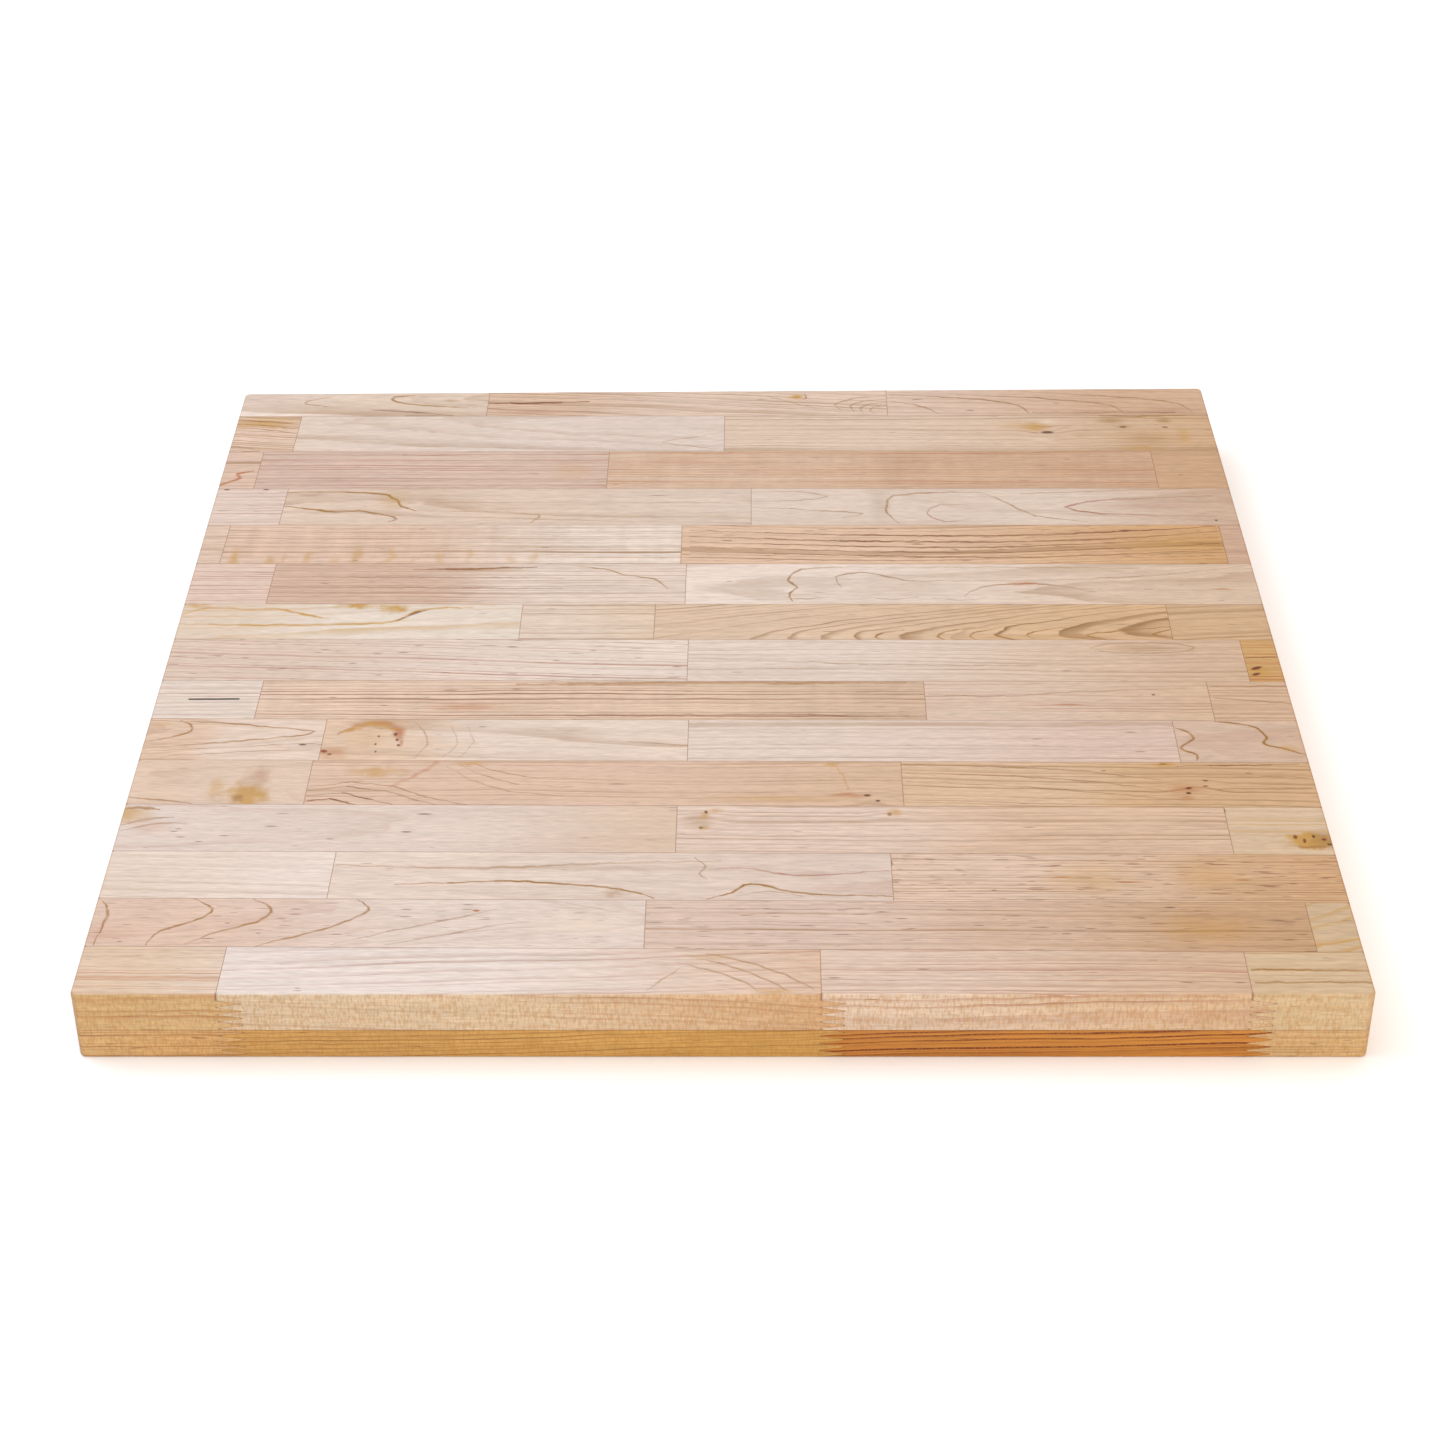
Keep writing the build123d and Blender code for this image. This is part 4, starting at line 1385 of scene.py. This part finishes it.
                spot(-10, 139, 12, 12, OLIVE, 0.35, rough=3), knot(-7, 146.6, 1.2, 1.8, PITH, 0.9),
                knot(-9.6, 133, 1.6, 1.3, SOOT, 0.9), spot(-8, 144, 3, 5, GOLDEN, 0.6, rough=2),
                spot(-2, 148, 6, 3, GOLDEN, 0.5, rough=3), spot(-8, 133, 4, 3, GOLDEN, 0.6),
                knot(86, 144.4, 1.6, 2.2, UMBER, 0.7), spot(89, 146, 6, 5, GOLDEN, 0.6, rough=3),
                fleck(155.4, 133, 9), swell(86, 144, 16, 8, 1.5), swell(-8, 140, 18, 12, 2),
            ))),
        Cut(50, CREAM, Board(
            "#BDA489", "#BDA489", pith=(60, -60), spacing=3.3, line=0.3, ink=GOLDEN, features=(
                spot(295, 121, 18, 9, GOLDEN, 0.85, rough=9, soft=0.6),
                spot(301, 122, 10, 12, BROWN, 0.6, rough=6), knot(287, 124, 1.4, 2.4, KNOT),
                knot(291, 121, 1.2, 2.6, KNOT), knot(296, 124.6, 1.2, 1.6, PITH),
                knot(301, 122, 1.8, 1.6, KNOT), knot(303, 118, 1.8, 1.2, PITH),
                spot(294, 116, 14, 2, UMBER, 0.5, rough=3), spot(254.9, 147.0, 1.0, 4.0, SOOT, 0.9),
            ))),
    )),
    Rail(39.0, (
        Cut(113, CREAM, Board("#C7B3A1", "#CCBBAE", pith=(62, -70), yaw=-2.4, spacing=3.6, line=0.22)),
        Cut(None, CREAM, Board(
            "#C7B4A4", "#BFAB9C", fade=(0.6, 0.8), pith=(0, -100), dip=0.8, spacing=4.4, line=0.18,
            ink=MAUVE, features=(
                stroke([(-160, 86), (-110, 88.4), (-86, 87), (-60, 84), (-44, 80), (-32, 75)], 1.0, OLIVE,
                       0.85),
                spot(-60, 99, 120, 3.2, BROWN, 0.25),
                stroke([(-12, 108), (-7, 101), (-10, 95), (-6, 90)], 0.9, BROWN, 0.5),
                stroke([(-6, 74), (6, 79), (12, 85), (20, 85.6), (34, 80), (50, 77), (84, 76)], 1.0, OLIVE,
                       0.9),
                stroke([(8, 76), (24, 80), (40, 76)], 0.8, BROWN, 0.5),
                stroke([(-190, 102), (-120, 99), (-60, 103), (0, 105)], 1.2, OLIVE, 0.45),
                stroke([(-2, 98), (14, 99), (36, 93), (60, 94), (84, 97)], 0.8, MAUVE, 0.6),
                spot(-52, 78, 7, 5, OLIVE, 0.4, rough=4),
            ))),
        Cut(220, TAN, Board(
            "#C6AC98", "#B8926B", fade=(0.6, 0.8), pith=(72, -42), spacing=2.3, line=0.45, flecks=1.0,
            features=(
                spot(180, 90, 32, 18, GOLDEN, 0.3, rough=8), spot(240, 92, 24, 18, GOLDEN, 0.3, rough=8),
                spot(84.9, 103, 0.9, 3.4, SOOT, 0.85), fleck(104, 106, 8), fleck(118, 97, 6),
                fleck(168, 91, 14, RUST, 0.7, b=0.9), fleck(176, 81, 6),
                fleck(202, 87, 18, RUST, 0.6, b=0.8),
                *flecks(FLECK, (204, 101.6, 12), (268, 95, 10), (134, 80.6, 4), (241, 102, 7)),
                fleck(256, 88.6, 10, RUST, 0.7, b=0.8),
            ))),
    )),
    Rail(38.2, (
        Cut(269, PINK, Board(
            "#C1A48F", "#C6B4A7", fade=(0.4, 0.5), pith=(10, -58), dip=-3.1, spacing=3, line=0.12,
            ink=MAUVE, flecks=0.8, features=(
                stroke([(-302, 73), (-298, 66), (-298, 56), (-300, 38)], 1.0, OLIVE, 0.75),
                stroke([(-258, 75), (-249, 69), (-247, 64), (-256, 56), (-270, 49), (-275, 38)], 0.9, OLIVE,
                       0.8),
                stroke([(-230, 75), (-221, 70), (-218, 64), (-224, 56), (-240, 49), (-256, 39)], 0.9, OLIVE,
                       0.75),
                stroke([(-178, 75), (-171, 68), (-173, 62), (-188, 51), (-210, 42), (-222, 37)], 0.9, OLIVE,
                       0.7),
                stroke([(-186, 38), (-160, 48), (-132, 57), (-108, 66)], 0.7, BROWN, 0.5),
                stroke([(-160, 38), (-130, 46), (-108, 53), (-92, 56)], 0.7, BROWN, 0.45),
                fleck(-118, 64.6, 5, RUST, 0.9, b=1.3),
                *flecks(KNOT, (-206, 66, 8), (-206, 62, 9), (-152, 65.6, 8), (-152, 60, 9), (-184, 46, 9),
                        (-288, 40.6, 4), (-222, 47, 4), (-238, 55, 4), (-246, 43, 10)),
                spot(-296, 48, 22, 12, RUST, 0.16), spot(-66, 54, 32, 14, CHALK, 0.45),
                stroke([(-84, 74), (-66, 68), (-48, 63)], 0.7, MAUVE, 0.35),
            ))),
        Cut(None, TAN, Board(
            "#C1A999", "#B08C69", fade=(0.6, 0.8), pith=(72, -44), spacing=2.2, line=0.4, flecks=0.8,
            features=(
                fleck(217.6, 66.6, 8, PITH, 0.8), fleck(88, 58, 9, UMBER, 0.7),
                *flecks(FLECK, (68, 61.4, 12), (178, 50, 8), (166, 46, 7), (271, 55.6, 20), (271, 41, 9)),
                spot(234, 50, 36, 16, GOLDEN, 0.38, rough=8),
            ))),
        Cut(22, CREAM, Board(
            "#B49A7A", "#B49A7A", pith=(34, -34), yaw=24, spacing=3.2, line=0.45, ink=GOLDEN)),
    )),
    # The front rail's upper boards tint their sawn front face partly as painted light and shade
    Rail(34.4, (
        Cut(69, TAN, Board(
            "#C1A78C", "#C3AD98", fade=(0.6, 0.8), pith=(70, -50), edge=(0.97, 0.89, 0.6), spacing=3,
            line=0.45, ink=RUST, warp=0.8, flecks=0.6), FRONT_LOWER[0]),
        Cut(None, CREAM, Board(
            "#CBBCB1", "#BF9E82", fade=(0.8, 0.8), pith=(60, -80), edge=(0.97, 0.92, 0.74), yaw=3.0,
            spacing=3.6, line=0.25, ink=MAUVE, features=(
                stroke([(-6, 31), (14, 24), (32, 14), (44, 4)], 0.8, OLIVE, 0.6),
                stroke([(-10, 27), (8, 20), (24, 10), (32, 3)], 0.8, OLIVE, 0.55),
                stroke([(-20, 24), (-2, 17), (12, 9), (18, 3)], 0.8, OLIVE, 0.5),
                stroke([(-34, 4), (-26, 12), (-18, 20)], 0.8, OLIVE, 0.4),
                spot(26, 3, 14, 3, GOLDEN, 0.6, rough=3), spot(-4, 28, 18, 5, GOLDEN, 0.3, rough=4),
                fleck(-198, 5, 4),
            )), FRONT_LOWER[1]),
        Cut(200, PINK, Board(
            "#C4AD9B", "#BB9D81", fade=(0.6, 0.8), pith=(72, -46), edge=(1.07, 1.15, 1.16), spacing=2.6,
            line=0.45, ink=MAUVE, flecks=0.4, features=(
                *flecks(FLECK, (96, 19, 9), (54, 12.6, 8), (218, 9, 9), (243, 9, 8)),
            )), FRONT_LOWER[2]),
        Cut(57, CREAM, Board(
            "#BBA181", "#BBA181", pith=(60, -56), edge=(1.05, 1.15, 1.17), spacing=3.3, line=0.25,
            ink=OLIVE, features=(
                stroke([(250, 18.5), (304, 17.5)], 1.1, OLIVE, 0.65),
                stroke([(250, 9), (304, 9)], 1.0, OLIVE, 0.6),
            )), FRONT_LOWER[3]),
    )),
)


@dataclass
class Top:
    """The whole top: every block cut to the slab and dressed.

    Attributes:
        rails: Its rails, from the back edge to the front edge.
        slab: Its sizes.
        finish: Its finish.
        seed: Start of the random choices for what doesn't show on the face.
        figure_span: How far apart two boards' figures can be in the noise.
        ply_step: How far a lower ply's figure is from its upper ply's.
        hidden_tones: Body colours of the plies that show only at the edges and underneath.
    """

    rails: tuple[Rail, ...]
    slab: Slab = field(default_factory=Slab)
    finish: OiledMaple = field(default_factory=OiledMaple)
    seed: int = 1507
    figure_span: float = 400.0
    ply_step: float = 57.0
    hidden_tones: tuple[str, ...] = (
        "#C19B81", "#BD9A80", "#B89070", "#B08763", "#AC8468", "#A97F5C", "#A67A50", "#9C6C3E",
    )

    def blocks(self) -> list[Block]:
        """Lay out every block.

        Returns:
            The blocks, from the back left to the front right.
        """
        slab = self.slab
        rng = random.Random(self.seed)
        found = []
        back = slab.depth / 2
        last = len(self.rails) - 1
        for row, rail in enumerate(self.rails):
            front = back - rail.width
            middle = (front + back) / 2
            lean = middle * math.tan(math.radians(slab.skew))
            x = -slab.width / 2 - lean
            spare = slab.width - sum(cut.length or 0.0 for cut in rail.cuts)
            for index, cut in enumerate(rail.cuts):
                length = cut.length or spare
                left = None if index == 0 else x
                right = None if index == len(rail.cuts) - 1 else x + length
                lower = cut.lower or self.lower_board(rng)
                found.append(Block(
                    f"rail_{row + 1:02d}_block_{'abcd'[index]}", cut.shade, left, right, start=x,
                    length=length, front=None if row == last else front, back=None if row == 0 else back,
                    middle=middle, upper=cut.upper, lower=lower, seed=rng.uniform(0, self.figure_span),
                    slab=slab,
                ))
                x += length
            back = front
        return found

    def lower_board(self, rng: random.Random) -> Board:
        """Choose the figure of a ply that shows only at the edges and underneath.

        Args:
            rng: Source of the random choices.

        Returns:
            The board.
        """
        tone = rng.choice(self.hidden_tones)
        heart = (rng.choice((-68.0, -30.0, 0.0, 30.0, 68.0)), rng.uniform(-115, -85))
        return Board(
            tone, rng.choice((tone, tone, "#B89070")), pith=heart, dip=rng.uniform(-3, 3),
            yaw=rng.uniform(-2, 2), spacing=rng.uniform(2.4, 4.2), line=rng.uniform(0.25, 0.6),
            curl=rng.choice((0.0, 0.0, 0.7)),
            ink=rng.choice((BROWN, MAUVE, UMBER, RUST)), flecks=rng.uniform(0.1, 0.9),
        )

    def build(self) -> list[bpy.types.Object]:
        """Build and dress every block.

        Returns:
            The pieces.
        """
        pieces = []
        for block in self.blocks():
            piece = block.build()
            seeds = (block.seed, block.seed + self.ply_step)
            for ply, board, seed in zip(("upper", "lower"), (block.upper, block.lower), seeds):
                name = f"oiled_hard_maple_{block.name}_{ply}"
                piece.data.materials.append(self.finish.dress(name, board, block, seed))
            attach(piece, "root")
            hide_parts(block.name)
            log.info("%s: %d faces, %s", piece.name, len(piece.data.polygons), block.shade.value)
            pieces.append(piece)
        return pieces


@dataclass(frozen=True)
class Softbox:
    """One soft light, aimed at the top.

    Attributes:
        name: Its name.
        place: Where its middle hangs, in metres.
        size: Its width and height, in metres.
        power: Its power, in watts.
        colour: Its colour as sRGB hex.
        target: What it is aimed at, in metres.
    """

    name: str
    place: tuple[float, float, float]
    size: tuple[float, float]
    power: float
    colour: str
    target: tuple[float, float, float] = (0.0, 0.0, 0.03)

    def build(self) -> bpy.types.Object:
        """Hang the light.

        Returns:
            The light.
        """
        data = bpy.data.lights.new(self.name, "AREA")
        data.shape, data.energy, data.color = "RECTANGLE", self.power, linear(self.colour)[:3]
        data.size, data.size_y = self.size
        lamp = bpy.data.objects.new(self.name, data)
        lamp.location = self.place
        aim = Vector(self.target) - Vector(self.place)
        lamp.rotation_euler = aim.to_track_quat("-Z", "Y").to_euler()
        bpy.context.scene.collection.objects.link(lamp)
        return lamp


@dataclass(frozen=True)
class StudioPaper:
    """Seamless white studio paper, matt, with a tooth too fine to see.

    It throws an even light back up and shows only the top's soft shadow.
    """

    colour: str = "#FBFAF9"
    roughness: float = 0.9
    tooth: float = 0.2 * MM
    tooth_scale: float = 900.0

    def dress(self) -> bpy.types.Material:
        """Make the paper.

        Returns:
            The material.
        """
        material = bpy.data.materials.new("matt_white_studio_paper")
        material.use_nodes = True
        tree = material.node_tree
        tree.nodes.clear()
        grain = add(tree, "TexNoise", {"Scale": self.tooth_scale})
        bump = add(tree, "Bump", {"Strength": 0.1, "Distance": self.tooth, "Height": grain})
        paper = add(tree, "BsdfPrincipled", {"Base Color": linear(self.colour), "Roughness": self.roughness,
                                             "Normal": bump})
        add(tree, "OutputMaterial", {"Surface": paper})
        return material


@dataclass
class Studio:
    """Pale floor, soft lights and the camera.

    Attributes:
        floor_size: Width and depth of the floor, in metres.
        paper: Finish of the floor.
        sky_colour: Colour of the light from all round.
        sky_strength: Strength of that light.
        softboxes: The lights.
        camera_place: Where the camera stands, in metres.
        camera_turn: How it is turned, in degrees.
        lens_mm: Its focal length.
        shift: How far the lens is shifted, as shares of the frame.
        clip: Nearest and farthest distances that it shows, in metres.
    """

    floor_size: float = 14.0
    paper: StudioPaper = StudioPaper()
    sky_colour: str = "#FFFFFF"
    sky_strength: float = 0.55
    softboxes: tuple[Softbox, ...] = (
        Softbox("ceiling", (0.0, 2.2, 4.6), (8.0, 8.0), 215.0, "#FFFFFF", (0.0, 2.2, 0.0)),
        Softbox("window_behind_left", (-1.1, 1.2, 1.5), (1.6, 1.2), 9.0, "#C6DCFF"),
        Softbox("key_left", (-1.0, -0.15, 0.9), (0.9, 1.4), 7.0, "#CFE2FF"),
        Softbox("warm_front_right", (0.8, -1.7, 0.8), (1.6, 1.2), 19.0, "#FFE2C0"),
    )
    camera_place: tuple[float, float, float] = (0.00588, -1.36398, 0.89869)
    camera_turn: tuple[float, float, float] = (55.559, 0.991, 1.188)
    lens_mm: float = 72.67
    shift: tuple[float, float] = (0.0483, 0.0245)
    clip: tuple[float, float] = (0.01, 50.0)

    def floor(self) -> bpy.types.Object:
        """Lay the floor under the top.

        Returns:
            The floor.
        """
        half = self.floor_size / 2
        mesh = bpy.data.meshes.new("studio_floor")
        corners = [(-half, -half, 0), (half, -half, 0), (half, half, 0), (-half, half, 0)]
        mesh.from_pydata(corners, [], [(0, 1, 2, 3)])
        plane = bpy.data.objects.new("studio_floor", mesh)
        bpy.context.scene.collection.objects.link(plane)
        mesh.materials.append(self.paper.dress())
        return plane

    def sky(self) -> None:
        """Fill the room with even light from all round."""
        world = bpy.data.worlds.new("white_room")
        bpy.context.scene.world = world
        world.use_nodes = True
        tree = world.node_tree
        tree.nodes.clear()
        glow = add(tree, "Background", {"Color": linear(self.sky_colour), "Strength": self.sky_strength})
        add(tree, "OutputWorld", {"Surface": glow})

    def camera(self) -> bpy.types.Object:
        """Set up the camera.

        Returns:
            The camera.
        """
        data = bpy.data.cameras.new("studio_camera")
        data.lens = self.lens_mm
        data.shift_x, data.shift_y = self.shift
        data.clip_start, data.clip_end = self.clip
        camera = bpy.data.objects.new("studio_camera", data)
        camera.location = self.camera_place
        camera.rotation_euler = [math.radians(angle) for angle in self.camera_turn]
        bpy.context.scene.collection.objects.link(camera)
        bpy.context.scene.camera = camera
        return camera

    def build(self) -> None:
        """Build the whole studio."""
        self.floor()
        self.sky()
        for softbox in self.softboxes:
            softbox.build()
        self.camera()
        view = bpy.context.scene.view_settings
        view.view_transform, view.look, view.exposure, view.gamma = "Standard", "None", 0.0, 1.0
        log.info("studio: floor, sky, %d softboxes and a camera", len(self.softboxes))


def main() -> None:
    """Load the frame, then build the top and the studio round it."""
    logging.basicConfig(level=logging.INFO, format="%(name)s: %(message)s")
    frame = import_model()
    pieces = Top(RAILS).build()
    log.info("top: %d pieces for %d nodes", len(pieces), len(frame["nodes"]))
    Studio().build()


if __name__ == "__main__":
    main()
